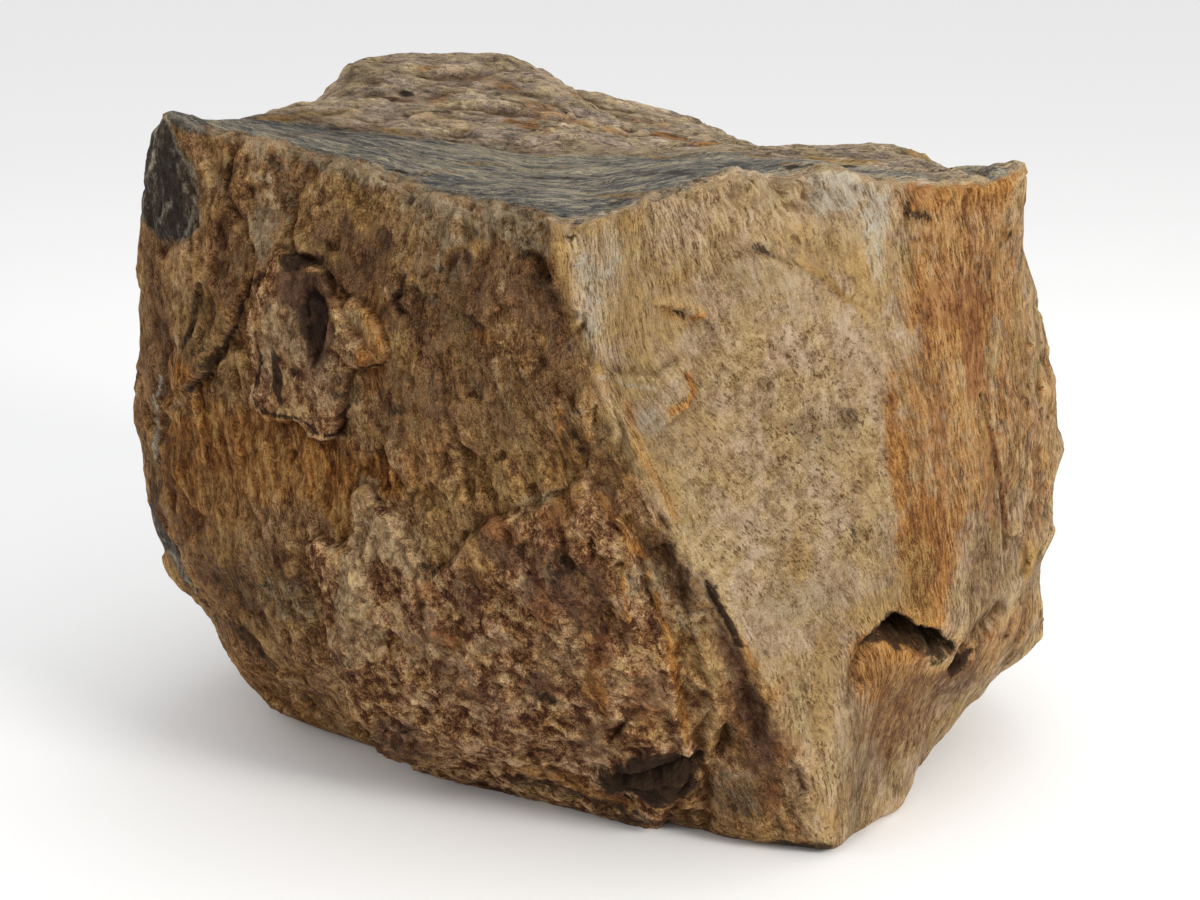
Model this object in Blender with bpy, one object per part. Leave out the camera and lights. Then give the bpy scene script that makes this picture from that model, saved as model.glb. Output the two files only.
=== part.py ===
"""A weathered schist boulder about one metre long, built as one closed solid.

The rock is described by its corner points. They are joined into flat facets, the facets are worn
soft except along the fresh arrises, and scabs, hollows, ledges, clefts and bites are carved in.
Metres, +Z up, the front faces -Y, and the bed that the rock rests on lies at z = 0.
"""

from dataclasses import dataclass

import bmesh
import bpy
import numpy as np
from mathutils import Vector, noise
from mathutils.bvhtree import BVHTree

# ---- Corner points, by the edge or face they lie on. x runs right, y runs back, z runs up. ----

FRONT_RIM = (  # the top edge of the front, from the left horn to the right horn
    (-0.455, -0.066, 0.734), (-0.400, -0.100, 0.712), (-0.362, -0.122, 0.714), (-0.300, -0.165, 0.704),
    (-0.246, -0.212, 0.697), (-0.205, -0.245, 0.687), (-0.163, -0.282, 0.677), (-0.093, -0.342, 0.676),
    (-0.037, -0.390, 0.670), (0.000, -0.380, 0.674), (0.037, -0.362, 0.686), (0.090, -0.335, 0.694),
    (0.137, -0.312, 0.704), (0.180, -0.288, 0.694), (0.222, -0.262, 0.702), (0.262, -0.232, 0.686),
    (0.303, -0.202, 0.677), (0.364, -0.162, 0.668), (0.400, -0.135, 0.666), (0.446, -0.105, 0.676),
)
RIDGE = (  # the nose between the left and the right face, from below the rim down to the toe
    (-0.029, -0.397, 0.616), (-0.009, -0.402, 0.551), (0.005, -0.402, 0.517), (0.018, -0.402, 0.483),
    (0.038, -0.402, 0.435), (0.062, -0.398, 0.388), (0.086, -0.392, 0.343), (0.111, -0.384, 0.295),
    (0.136, -0.377, 0.246), (0.162, -0.366, 0.198), (0.184, -0.353, 0.151), (0.204, -0.340, 0.105),
    (0.224, -0.332, 0.058), (0.243, -0.322, 0.000),
)
LEFT_FACE = (  # the broad face left of the ridge, row by row from the top
    (-0.143, -0.310, 0.617), (-0.246, -0.235, 0.622), (-0.345, -0.160, 0.618),
    (-0.094, -0.360, 0.561), (-0.174, -0.300, 0.547), (-0.279, -0.235, 0.532), (-0.382, -0.150, 0.512),
    (-0.057, -0.375, 0.448), (-0.146, -0.315, 0.430), (-0.252, -0.240, 0.409), (-0.353, -0.170, 0.389),
    (-0.440, -0.090, 0.366),
    (0.043, -0.385, 0.341), (-0.038, -0.385, 0.341), (-0.147, -0.330, 0.322), (-0.264, -0.250, 0.295),
    (-0.358, -0.170, 0.268), (-0.450, -0.070, 0.234),
    (0.078, -0.375, 0.256), (0.000, -0.370, 0.244), (-0.120, -0.320, 0.225), (-0.236, -0.250, 0.198),
    (-0.330, -0.150, 0.160), (-0.402, -0.055, 0.125),
    (0.100, -0.335, 0.132), (0.040, -0.335, 0.132), (-0.082, -0.283, 0.111), (-0.203, -0.195, 0.084),
    (-0.310, -0.085, 0.078),
)
LEFT_END = (  # the rounded left end, and the dark face that turns away behind it
    (-0.486, -0.010, 0.716), (-0.492, -0.030, 0.652), (-0.423, -0.100, 0.586), (-0.510, 0.020, 0.573),
    (-0.514, 0.020, 0.472), (-0.524, 0.030, 0.390), (-0.478, -0.030, 0.268), (-0.430, -0.005, 0.157),
    (-0.532, 0.060, 0.311), (-0.524, 0.100, 0.238), (-0.509, 0.120, 0.150), (-0.462, 0.100, 0.118),
    (-0.410, 0.035, 0.045),
)
TOP = (  # the trough behind the rim, the foot of the hump, the hump and its crest
    (-0.316, -0.050, 0.694), (-0.184, -0.120, 0.683), (-0.080, -0.180, 0.675), (0.000, -0.200, 0.676),
    (0.081, -0.150, 0.683), (0.147, -0.050, 0.681), (0.207, -0.100, 0.680), (0.317, -0.050, 0.665),
    (-0.351, 0.060, 0.694), (-0.219, 0.050, 0.679), (-0.108, 0.020, 0.672), (0.000, 0.000, 0.670),
    (0.112, 0.100, 0.662),
    (-0.208, 0.200, 0.703), (-0.092, 0.180, 0.700), (0.000, 0.170, 0.678),
    (-0.330, 0.270, 0.694), (-0.355, 0.180, 0.704), (-0.400, 0.080, 0.706),
    (-0.320, 0.320, 0.730), (-0.298, 0.345, 0.745), (-0.245, 0.380, 0.743), (-0.148, 0.400, 0.745),
    (-0.086, 0.400, 0.733), (-0.046, 0.380, 0.690), (0.049, 0.370, 0.677), (0.110, 0.350, 0.660),
    (0.172, 0.320, 0.634),
    (0.227, 0.280, 0.628), (0.292, 0.220, 0.634), (0.349, 0.160, 0.658), (0.400, 0.070, 0.634),
    (0.420, 0.000, 0.634),
)
RIGHT_FACE = (  # the pale face right of the ridge
    (0.094, -0.345, 0.624), (0.153, -0.330, 0.534), (0.095, -0.370, 0.446), (0.194, -0.320, 0.432),
    (0.244, -0.270, 0.570), (0.175, -0.350, 0.329), (0.248, -0.300, 0.312), (0.219, -0.320, 0.214),
    (0.166, -0.360, 0.250),
    (0.293, -0.220, 0.609), (0.286, -0.240, 0.533), (0.305, -0.250, 0.443), (0.307, -0.255, 0.361),
    (0.306, -0.250, 0.252),
)
RIGHT_END = (  # the rusty strip, its outer edge, and the bulge over the notch
    (0.366, -0.165, 0.599), (0.369, -0.185, 0.446), (0.379, -0.190, 0.319), (0.421, -0.140, 0.380),
    (0.456, -0.080, 0.642), (0.447, -0.080, 0.605), (0.446, -0.070, 0.558), (0.479, -0.050, 0.483),
    (0.500, -0.040, 0.436), (0.520, -0.020, 0.357), (0.517, -0.020, 0.300), (0.506, -0.010, 0.255),
    (0.502, 0.000, 0.215), (0.514, 0.000, 0.127),
    (0.343, -0.240, 0.260), (0.361, -0.235, 0.220), (0.409, -0.170, 0.179), (0.444, -0.120, 0.183),
)
LOWER_RIGHT = (  # the recessed face under the notch and the edge below it
    (0.274, -0.290, 0.181), (0.337, -0.210, 0.138), (0.378, -0.150, 0.102), (0.292, -0.250, 0.075),
    (0.278, -0.290, 0.010),
    (0.324, -0.215, 0.000), (0.350, -0.160, 0.024), (0.384, -0.120, 0.045), (0.415, -0.090, 0.072),
    (0.454, -0.050, 0.098), (0.494, -0.020, 0.112),
)
BACK = (  # the rim, the face and the foot of the back
    (-0.470, 0.100, 0.640), (-0.420, 0.270, 0.600), (-0.330, 0.400, 0.660), (-0.200, 0.470, 0.700),
    (-0.050, 0.480, 0.660), (0.100, 0.460, 0.600), (0.220, 0.400, 0.570), (0.330, 0.300, 0.580),
    (0.400, 0.150, 0.585), (0.436, 0.030, 0.600),
    (-0.460, 0.250, 0.420), (-0.300, 0.460, 0.450), (-0.080, 0.500, 0.420), (0.140, 0.470, 0.360),
    (0.330, 0.360, 0.380), (0.450, 0.180, 0.400), (0.500, 0.080, 0.330),
    (-0.470, 0.240, 0.200), (-0.330, 0.400, 0.200), (-0.100, 0.440, 0.160), (0.140, 0.420, 0.150),
    (0.360, 0.300, 0.160), (0.480, 0.140, 0.150),
    (-0.360, 0.300, 0.030), (-0.200, 0.370, 0.000), (0.020, 0.380, 0.000), (0.200, 0.330, 0.000),
    (0.360, 0.200, 0.020), (0.420, 0.050, 0.040),
)
BED = (  # the flat underside
    (0.185, -0.310, 0.0), (0.130, -0.284, 0.0), (0.060, -0.240, 0.0), (0.000, -0.200, 0.0),
    (-0.109, -0.140, 0.0), (-0.225, -0.070, 0.0), (-0.366, 0.040, 0.0),
    (-0.370, 0.150, 0.0), (0.320, 0.120, 0.0), (0.330, 0.000, 0.0), (0.290, -0.130, 0.0),
    (0.000, 0.050, 0.0),
)
CORNERS = (
    FRONT_RIM + RIDGE + LEFT_FACE + LEFT_END + TOP + RIGHT_FACE + RIGHT_END + LOWER_RIGHT + BACK + BED
)
HEART = Vector((0.0, -0.02, 0.33))  # every corner can be seen from here

SKIN_DETAIL = 7  # subdivisions of the icosphere that the skin is drawn from
FRESH_STEPS = 2  # smoothing steps along the fresh arrises
WORN_STEPS = 26  # smoothing steps on the faces between them
ARRIS_REACH = 0.045  # how far from an arris the rock stays fresh
SWELL = 0.0035  # gives back what the wear takes off
NOISE_SEED = 1795468108  # the vector noise would otherwise follow the clock
MOST_TRIANGLES = 9800
FRONT_DEPTH = 0.06  # what lies nearer than this keeps more of its triangles
FRONT_FAVOUR = 0.10
BED_SNAP = 0.0012  # what lies this close over the bed belongs to it
STONE_COLOUR = (0.27, 0.185, 0.105, 1.0)
BED_CALM = 0.03  # height over which the relief fades in above the bed
BITE_UNREST = 0.005  # how uneven the wall of a bite is

# ---- Relief of the front, drawn in its elevation: points are (x, z). ----


@dataclass(frozen=True)
class Patch:
    """A piece of the face with an outline of its own, standing proud of it or lying back from it.

    rise is how far it stands out, slope is how wide its edge is, and lift tips the movement upwards.
    """

    outline: tuple
    rise: float
    slope: float
    lift: float = 0.0


@dataclass(frozen=True)
class Ledge:
    """The broken edge of a flake: the face left of the line is raised by drop, less and less over reach."""

    line: tuple
    drop: float
    reach: float


@dataclass(frozen=True)
class Cleft:
    """A crease or crack along a line, with rounded walls. A negative depth makes a rib of it."""

    line: tuple
    depth: float
    width: float


@dataclass(frozen=True)
class Bite:
    """A shell-shaped fracture: the rock inside a ball is gone. The centre lies outside the rock."""

    centre: tuple
    radius: float


SCAB_OUTLINE = (
    (-0.318, 0.606), (-0.293, 0.601), (-0.270, 0.592), (-0.263, 0.573), (-0.244, 0.556), (-0.234, 0.538),
    (-0.215, 0.518), (-0.216, 0.504), (-0.240, 0.499), (-0.244, 0.479), (-0.256, 0.443), (-0.263, 0.426),
    (-0.273, 0.416), (-0.288, 0.419), (-0.305, 0.431), (-0.330, 0.426), (-0.356, 0.431), (-0.360, 0.443),
    (-0.350, 0.475), (-0.357, 0.501), (-0.355, 0.522), (-0.343, 0.552), (-0.327, 0.580),
)
SCAB_PIT = (
    (-0.297, 0.592), (-0.273, 0.592), (-0.260, 0.578), (-0.256, 0.563), (-0.252, 0.545), (-0.255, 0.527),
    (-0.262, 0.511), (-0.270, 0.497), (-0.279, 0.500), (-0.290, 0.518), (-0.297, 0.545), (-0.302, 0.572),
)
CRUST_OUTLINE = (
    (-0.302, 0.311), (-0.280, 0.318), (-0.260, 0.316), (-0.247, 0.332), (-0.250, 0.352), (-0.247, 0.369),
    (-0.240, 0.385), (-0.229, 0.383), (-0.219, 0.369), (-0.206, 0.366), (-0.197, 0.362), (-0.187, 0.342),
    (-0.172, 0.324), (-0.160, 0.311), (-0.146, 0.324), (-0.128, 0.352), (-0.108, 0.372), (-0.083, 0.387),
    (-0.063, 0.394), (-0.043, 0.409), (-0.026, 0.421), (-0.012, 0.428), (0.000, 0.406), (0.013, 0.389),
    (0.030, 0.369), (0.038, 0.346), (0.052, 0.306), (0.069, 0.254), (0.077, 0.206), (0.085, 0.160),
    (0.096, 0.128), (0.092, 0.086), (0.076, 0.050), (0.066, -0.050), (-0.200, -0.050),
    (-0.223, 0.068), (-0.235, 0.105), (-0.250, 0.123), (-0.263, 0.140), (-0.272, 0.170),
    (-0.276, 0.208), (-0.279, 0.239), (-0.280, 0.265), (-0.288, 0.282),
    (-0.303, 0.292),
)
NOTCH_OUTLINE = (
    (0.262, 0.221), (0.266, 0.226), (0.274, 0.231), (0.286, 0.239), (0.292, 0.245), (0.302, 0.242),
    (0.313, 0.235), (0.322, 0.226), (0.339, 0.220), (0.352, 0.213), (0.360, 0.200), (0.371, 0.188),
    (0.375, 0.176), (0.364, 0.174), (0.360, 0.165), (0.348, 0.170), (0.343, 0.186), (0.322, 0.198),
    (0.311, 0.206), (0.301, 0.208), (0.293, 0.217), (0.277, 0.221),
)
PATCHES = (
    Patch(SCAB_OUTLINE, rise=0.015, slope=0.007),
    Patch(SCAB_PIT, rise=-0.011, slope=0.012),
    Patch(CRUST_OUTLINE, rise=0.012, slope=0.008),
    Patch(NOTCH_OUTLINE, rise=-0.045, slope=0.012, lift=0.45),
    Patch(  # the slot under the crust
        ((0.010, 0.087), (0.040, 0.101), (0.066, 0.113), (0.086, 0.122), (0.097, 0.113), (0.095, 0.098),
         (0.076, 0.092), (0.053, 0.084), (0.024, 0.073)),
        rise=-0.018, slope=0.006, lift=0.5,
    ),
    Patch(  # the small hollow right of the crust
        ((0.121, 0.177), (0.131, 0.164), (0.135, 0.137), (0.124, 0.110), (0.112, 0.120), (0.115, 0.149)),
        rise=-0.010, slope=0.007,
    ),
    Patch(  # the scab's right plate
        ((-0.255, 0.565), (-0.239, 0.571), (-0.227, 0.567), (-0.217, 0.557), (-0.208, 0.542),
         (-0.204, 0.524), (-0.211, 0.511), (-0.226, 0.504), (-0.237, 0.504), (-0.246, 0.517),
         (-0.252, 0.537)),
        rise=0.008, slope=0.005,
    ),
    Patch(  # the hollow by the top of the nose
        ((-0.073, 0.637), (-0.065, 0.643), (-0.053, 0.636), (-0.048, 0.624), (-0.045, 0.614),
         (-0.056, 0.609), (-0.066, 0.620)),
        rise=-0.009, slope=0.006,
    ),
    Patch(  # the dark wedge at the left arris
        ((-0.473, 0.407), (-0.465, 0.392), (-0.469, 0.370), (-0.485, 0.347), (-0.493, 0.357),
         (-0.486, 0.382)),
        rise=-0.008, slope=0.005,
    ),
    Patch(  # the rusty hollow over the crust's arm
        ((-0.262, 0.410), (-0.215, 0.415), (-0.195, 0.385), (-0.200, 0.362), (-0.232, 0.376),
         (-0.262, 0.345)),
        rise=-0.007, slope=0.020,
    ),
    Patch(  # the knob at the head of the crust's right side
        ((-0.012, 0.378), (0.006, 0.384), (0.024, 0.372), (0.030, 0.352), (0.014, 0.344), (-0.006, 0.354)),
        rise=0.007, slope=0.010,
    ),
)
LEDGES = (
    Ledge(((-0.223, 0.068), (-0.250, 0.123), (-0.272, 0.170), (-0.280, 0.240), (-0.290, 0.285))[::-1],
          drop=0.014, reach=0.110),  # the crust's thick left side
    Ledge(((0.070, 0.534), (0.053, 0.522), (0.020, 0.531), (-0.010, 0.541)), drop=0.004, reach=0.050),
    Ledge(((0.059, 0.586), (0.074, 0.580), (0.098, 0.568)), drop=0.005, reach=0.040),
    Ledge(((0.068, 0.480), (0.083, 0.488), (0.089, 0.508), (0.080, 0.522)), drop=0.005, reach=0.045),
    Ledge(((-0.126, 0.574), (-0.119, 0.565), (-0.110, 0.559), (-0.103, 0.573), (-0.085, 0.583)),
          drop=0.007, reach=0.045),
    Ledge(((-0.431, 0.436), (-0.422, 0.448), (-0.404, 0.461), (-0.400, 0.483), (-0.389, 0.498),
           (-0.376, 0.519), (-0.369, 0.543)), drop=0.007, reach=0.050),
    Ledge(((-0.366, 0.707), (-0.376, 0.689), (-0.380, 0.666), (-0.381, 0.648), (-0.369, 0.637),
           (-0.363, 0.627), (-0.354, 0.611), (-0.349, 0.590), (-0.355, 0.562)), drop=0.006, reach=0.055),
    Ledge(((-0.322, 0.608), (-0.301, 0.601), (-0.285, 0.599), (-0.270, 0.592), (-0.252, 0.576)),
          drop=0.005, reach=0.040),
    Ledge(((-0.200, 0.572), (-0.187, 0.580), (-0.177, 0.591), (-0.169, 0.580), (-0.151, 0.578)),
          drop=0.006, reach=0.040),
    Ledge(((-0.485, 0.347), (-0.466, 0.332), (-0.455, 0.315), (-0.443, 0.299)), drop=0.005, reach=0.040),
    Ledge(((0.103, 0.324), (0.111, 0.299), (0.124, 0.276), (0.136, 0.250), (0.147, 0.224), (0.158, 0.189),
           (0.167, 0.147)), drop=0.007, reach=0.030),  # the keen edge of the pale face
    Ledge(((0.256, 0.120), (0.250, 0.172), (0.254, 0.203), (0.263, 0.217), (0.274, 0.222)),
          drop=0.007, reach=0.035),  # the brink of the recess under the notch
    Ledge(((-0.440, 0.155), (-0.466, 0.210), (-0.476, 0.267), (-0.484, 0.309), (-0.488, 0.355),
           (-0.476, 0.401))[::-1], drop=0.008, reach=0.060),  # the left arris
)
CLEFTS = (
    Cleft(((-0.369, 0.707), (-0.379, 0.689), (-0.384, 0.666), (-0.384, 0.648), (-0.372, 0.636),
           (-0.366, 0.626), (-0.357, 0.610), (-0.352, 0.590), (-0.358, 0.562), (-0.389, 0.504),
           (-0.407, 0.457), (-0.435, 0.430)), depth=0.006, width=0.006),  # the long crack down the left
    Cleft(((-0.415, 0.554), (-0.416, 0.516), (-0.424, 0.498), (-0.436, 0.479)), depth=0.006, width=0.006),
    Cleft(((-0.404, 0.625), (-0.388, 0.612), (-0.387, 0.597)), depth=0.004, width=0.005),
    Cleft(((-0.190, 0.595), (-0.188, 0.585), (-0.198, 0.573), (-0.191, 0.562)), depth=0.005, width=0.004),
    Cleft(((-0.216, 0.415), (-0.202, 0.401), (-0.193, 0.386)), depth=0.005, width=0.005),
    Cleft(((0.148, 0.629), (0.178, 0.616), (0.187, 0.606), (0.229, 0.581), (0.260, 0.559)),
          depth=0.004, width=0.006),
    Cleft(((0.398, 0.445), (0.409, 0.404), (0.417, 0.359), (0.429, 0.320), (0.436, 0.269)),
          depth=0.007, width=0.006),
    Cleft(((0.376, 0.152), (0.383, 0.162), (0.390, 0.168)), depth=0.016, width=0.005),  # under the bulge
    Cleft(((0.392, 0.170), (0.401, 0.182), (0.412, 0.190), (0.420, 0.195), (0.433, 0.200)),
          depth=0.012, width=0.014),
    Cleft(((0.250, 0.165), (0.254, 0.203), (0.263, 0.217), (0.274, 0.224)), depth=0.005, width=0.008),
    Cleft(((-0.295, 0.285), (-0.290, 0.240), (-0.285, 0.170), (-0.262, 0.118)), depth=0.012, width=0.022),
    Cleft(((-0.005, 0.415), (0.011, 0.391), (0.026, 0.374), (0.038, 0.346), (0.048, 0.318),
           (0.057, 0.287), (0.067, 0.259), (0.073, 0.218), (0.079, 0.173), (0.089, 0.129)),
          depth=-0.008, width=0.006),  # the rib down the crust's right side
    Cleft(((0.022, 0.374), (0.028, 0.357), (0.022, 0.332), (0.024, 0.308), (0.028, 0.277)),
          depth=-0.005, width=0.005),
    Cleft(((0.037, 0.329), (0.048, 0.294), (0.054, 0.268)), depth=0.005, width=0.006),
    Cleft(((0.056, 0.355), (0.073, 0.324), (0.084, 0.299), (0.096, 0.272)), depth=0.006, width=0.008),
    Cleft(((0.091, 0.292), (0.098, 0.255), (0.107, 0.227), (0.113, 0.200), (0.117, 0.168),
           (0.110, 0.135), (0.107, 0.106)), depth=-0.006, width=0.006),
    Cleft(((0.133, 0.181), (0.142, 0.156), (0.152, 0.119)), depth=-0.005, width=0.006),
    Cleft(((0.096, 0.322), (0.104, 0.297), (0.116, 0.274), (0.127, 0.248), (0.137, 0.222),
           (0.147, 0.187), (0.155, 0.147)), depth=0.009, width=0.008),  # the gash left of the pale face
    Cleft(((0.101, 0.079), (0.108, 0.045), (0.108, 0.007)), depth=0.008, width=0.007),
    Cleft(((-0.040, 0.499), (-0.035, 0.470), (-0.020, 0.430)), depth=-0.005, width=0.008),
    Cleft(((-0.045, 0.400), (-0.040, 0.375), (-0.028, 0.345), (-0.012, 0.318), (0.006, 0.300),
           (0.022, 0.262)), depth=0.007, width=0.009),  # the gully down the crust
    Cleft(((-0.090, 0.362), (-0.074, 0.352), (-0.064, 0.325)), depth=0.005, width=0.007),
    Cleft(((-0.058, 0.180), (-0.042, 0.155), (-0.028, 0.145)), depth=0.004, width=0.005),
    Cleft(((0.010, 0.140), (0.022, 0.152), (0.030, 0.168)), depth=0.004, width=0.005),
)
BITES = (
    Bite((0.190, -0.335, 0.745), 0.065),  # the saddle where the trough spills over the rim
    Bite((0.060, -0.420, 0.735), 0.070),
    Bite((-0.330, -0.200, 0.770), 0.075),
    Bite((0.605, -0.010, 0.292), 0.106),
    Bite((-1.020, 0.380, 0.520), 0.600),  # broad scars of the left end, the back and the right end
    Bite((0.120, 1.020, 0.660), 0.600),
    Bite((0.860, 0.720, 0.200), 0.645),
    Bite((-0.620, 0.980, 0.020), 0.710),
    Bite((0.860, 0.400, 0.740), 0.560),
)
FRESH_ARRISES = (FRONT_RIM, RIDGE[2:], LOWER_RIGHT[5:])


def clear_scene():
    """Removes whatever the scene holds."""
    for obj in list(bpy.data.objects):
        bpy.data.objects.remove(obj)


def facet_net():
    """Joins the corner points into one closed net of flat facets, each as it is seen from the heart."""
    net = bmesh.new()
    for corner in CORNERS:
        net.verts.new((Vector(corner) - HEART).normalized())
    bmesh.ops.convex_hull(net, input=net.verts)
    for vert, corner in zip(net.verts, CORNERS):
        vert.co = corner
    return net


def skin_over(net):
    """Draws a fine, even skin over the net and returns it as a mesh."""
    tree = BVHTree.FromBMesh(net)
    skin = bmesh.new()
    bmesh.ops.create_icosphere(skin, subdivisions=SKIN_DETAIL, radius=1.0)
    for vert in skin.verts:
        vert.co = tree.ray_cast(HEART, vert.co)[0]
    mesh = bpy.data.meshes.new("boulder")
    skin.to_mesh(mesh)
    skin.free()
    return mesh


def evaluated(obj):
    """A mesh of the object as its modifiers leave it."""
    return bpy.data.meshes.new_from_object(obj.evaluated_get(bpy.context.evaluated_depsgraph_get()))


def points_of(mesh):
    """The mesh's points, one row each."""
    points = np.empty(len(mesh.vertices) * 3, np.float32)
    mesh.vertices.foreach_get("co", points)
    return points.reshape(-1, 3).astype(float)


def normals_of(mesh):
    """The mesh's normals at its points, one row each."""
    normals = np.empty(len(mesh.vertices) * 3, np.float32)
    mesh.vertex_normals.foreach_get("vector", normals)
    return normals.reshape(-1, 3).astype(float)


def move_points(mesh, points):
    """Sets the mesh's points."""
    mesh.vertices.foreach_set("co", points.astype(np.float32).ravel())
    mesh.update()


def step(value, low, high):
    """0 below low, 1 above high, and a smooth rise between."""
    t = np.clip((value - low) / (high - low), 0.0, 1.0)
    return t * t * (3.0 - 2.0 * t)


def along(points, line, closed=False):
    """Distance from each point to the line, which side it lies on (1 is left), and how far past an end."""
    ends = np.array(line + line[:1] if closed else line, float)
    best = np.full(len(points), np.inf)
    side = np.ones(len(points))
    past = np.zeros(len(points))
    last = len(ends) - 2
    for i, (start, end) in enumerate(zip(ends[:-1], ends[1:])):
        run = end - start
        offset = points - start
        share = offset @ run / (run @ run)
        near = offset - np.clip(share, 0.0, 1.0)[:, None] * run
        distance = np.linalg.norm(near, axis=1)
        closer = distance < best
        best[closer] = distance[closer]
        if points.shape[1] == 2:
            side[closer] = np.sign(run[0] * offset[closer, 1] - run[1] * offset[closer, 0])
        over = np.zeros(len(points))
        if i == 0:
            over = np.maximum(over, -share)
        if i == last:
            over = np.maximum(over, share - 1.0)
        past[closer] = over[closer] * np.linalg.norm(run)
    return best, side, past


def inside(points, outline):
    """Whether each point lies inside the outline."""
    found = np.zeros(len(points), bool)
    for (x0, z0), (x1, z1) in zip(outline, outline[1:] + outline[:1]):
        spans = (z0 > points[:, 1]) != (z1 > points[:, 1])
        if z0 != z1:
            found ^= spans & (points[:, 0] < x0 + (points[:, 1] - z0) * (x1 - x0) / (z1 - z0))
    return found


def fractal(points, size, octaves=3, stretch=(1.0, 1.0, 1.0)):
    """Fractal noise, about -1 to 1, whose largest lumps are size metres apart along each stretched axis."""
    grid = points / (size * np.array(stretch))
    return np.array([noise.fractal(p, 1.0, 2.0, octaves) for p in grid])


def shards(points, size, stretch=(1.0, 1.0, 1.0), bevel=0.12):
    """Relief of a fracture, about -1 to 1: every cell is a leaning plane with a step at its edge."""
    relief = np.empty(len(points))
    for i, point in enumerate(points / (size * np.array(stretch))):
        spot = Vector(point)
        distances, centres = noise.voronoi(spot)
        heights = []
        for centre in centres[:2]:
            lean = noise.noise_vector(centre * 7.3)
            heights.append(1.4 * noise.noise(centre * 5.7) + 1.2 * lean.dot(spot - centre))
        share = 0.5 + 0.5 * min((distances[1] - distances[0]) / bevel, 1.0)
        relief[i] = share * heights[0] + (1.0 - share) * heights[1]
    return relief


def soften(boulder):
    """Wears the facets soft, and keeps the fresh arrises keen."""
    smooth = boulder.modifiers.new("wear", "SMOOTH")
    smooth.iterations = FRESH_STEPS
    fresh = points_of(evaluated(boulder))
    smooth.iterations = WORN_STEPS
    worn = evaluated(boulder)
    boulder.modifiers.remove(smooth)
    away = np.min([along(fresh, arris)[0] for arris in FRESH_ARRISES], axis=0)
    wear = step(away, 0.25 * ARRIS_REACH, ARRIS_REACH)[:, None]
    move_points(boulder.data, wear * (points_of(worn) + SWELL * normals_of(worn)) + (1.0 - wear) * fresh)


def roughness(points, normals):
    """How the faces are broken up by the steps of the foliation: how far each point stands out."""
    elevation = points[:, [0, 2]]
    front = step(-normals[:, 1], 0.15, 0.45)
    left = front * step(-normals[:, 0], -0.25, 0.05)
    crust = left * inside(elevation, CRUST_OUTLINE)
    scab = left * inside(elevation, SCAB_OUTLINE)
    bare = left - crust - scab
    right = front - left
    top = step(normals[:, 2], 0.55, 0.80)
    trough = top * step(-points[:, 1] - 0.35 * points[:, 0], -0.02, 0.06)
    rest = np.clip(1.0 - front - top, 0.0, 1.0)
    coarse = 0.006 + 0.006 * step(points[:, 1], 0.10, 0.25)
    relief = 0.006 * fractal(points, 0.20, 3)
    relief += 0.0060 * bare * shards(points, 0.050, (1.0, 1.0, 1.7))
    relief += 0.0045 * crust * shards(points, 0.040, bevel=0.5)
    relief += 0.0035 * crust * fractal(points, 0.040, 3)
    relief += (0.0035 * right + 0.003 * trough) * fractal(points, 0.10, 3, (1.2, 1.0, 1.8))
    relief += 0.0015 * right * shards(points, 0.060, (1.0, 1.0, 1.6))
    relief += 0.0065 * (top - 0.7 * trough) * shards(points, 0.034, (2.6, 1.4, 0.6))
    relief += coarse * rest * shards(points, 0.085, (1.0, 1.4, 1.6))
    return step(points[:, 2], 0.0, BED_CALM) * relief


def carve(mesh):
    """Breaks up the worn skin, and cuts and raises the named features, which are placed on it as it was."""
    base, normals = points_of(mesh), normals_of(mesh)
    points = base + roughness(base, normals)[:, None] * normals
    front = base[:, [0, 2]]
    faces_front = step(-normals[:, 1], 0.05, 0.30) * (base[:, 1] < 0.1)
    wobble = 0.004 * fractal(base, 0.03, 2)
    for patch in PATCHES:
        gap = along(front, patch.outline, closed=True)[0]
        gap[~inside(front, patch.outline)] *= -1.0
        share = faces_front * step(gap + wobble, 0.0, patch.slope)
        heading = normals + patch.lift * np.sign(-patch.rise) * np.array((0.0, 0.0, -1.0))
        points += (patch.rise * share)[:, None] * heading
    for ledge in LEDGES:
        away, side, past = along(front, ledge.line)
        gap = away * side + wobble
        share = step(gap, 0.0, 0.006) * np.clip(1.0 - gap / ledge.reach, 0.0, 1.0)
        share *= faces_front * (1.0 - step(past, 0.0, 0.4 * ledge.reach))
        points += (ledge.drop * share)[:, None] * normals
    for cleft in CLEFTS:
        away, _, past = along(front, cleft.line)
        share = np.exp(-((away + wobble) ** 2 + past**2) / cleft.width**2) * faces_front
        points -= (cleft.depth * share)[:, None] * normals
    for bite in BITES:
        offset = points - np.array(bite.centre)
        reach = np.linalg.norm(offset, axis=1)
        edge = bite.radius + BITE_UNREST * fractal(base, 0.07, 3)
        gone = reach < edge
        points[gone] = np.array(bite.centre) + offset[gone] * (edge / reach)[gone, None]
    move_points(mesh, points)


def thin_out(boulder):
    """Leaves only the triangles that the shape needs, most of them on the front, with the bed flat."""
    keep = boulder.vertex_groups.new(name="keep")
    depth = points_of(boulder.data)[:, 1]
    keep.add(np.nonzero(depth < FRONT_DEPTH)[0].tolist(), 1.0, "REPLACE")
    keep.add(np.nonzero(depth >= FRONT_DEPTH)[0].tolist(), 0.9, "REPLACE")
    thin = boulder.modifiers.new("thin", "DECIMATE")
    thin.ratio = MOST_TRIANGLES / len(boulder.data.polygons)
    thin.vertex_group = keep.name
    thin.vertex_group_factor = FRONT_FAVOUR
    mesh = evaluated(boulder)
    boulder.modifiers.remove(thin)
    boulder.vertex_groups.remove(keep)
    points = points_of(mesh)
    points[points[:, 2] < BED_SNAP, 2] = 0.0
    move_points(mesh, points)
    boulder.data = mesh


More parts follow.
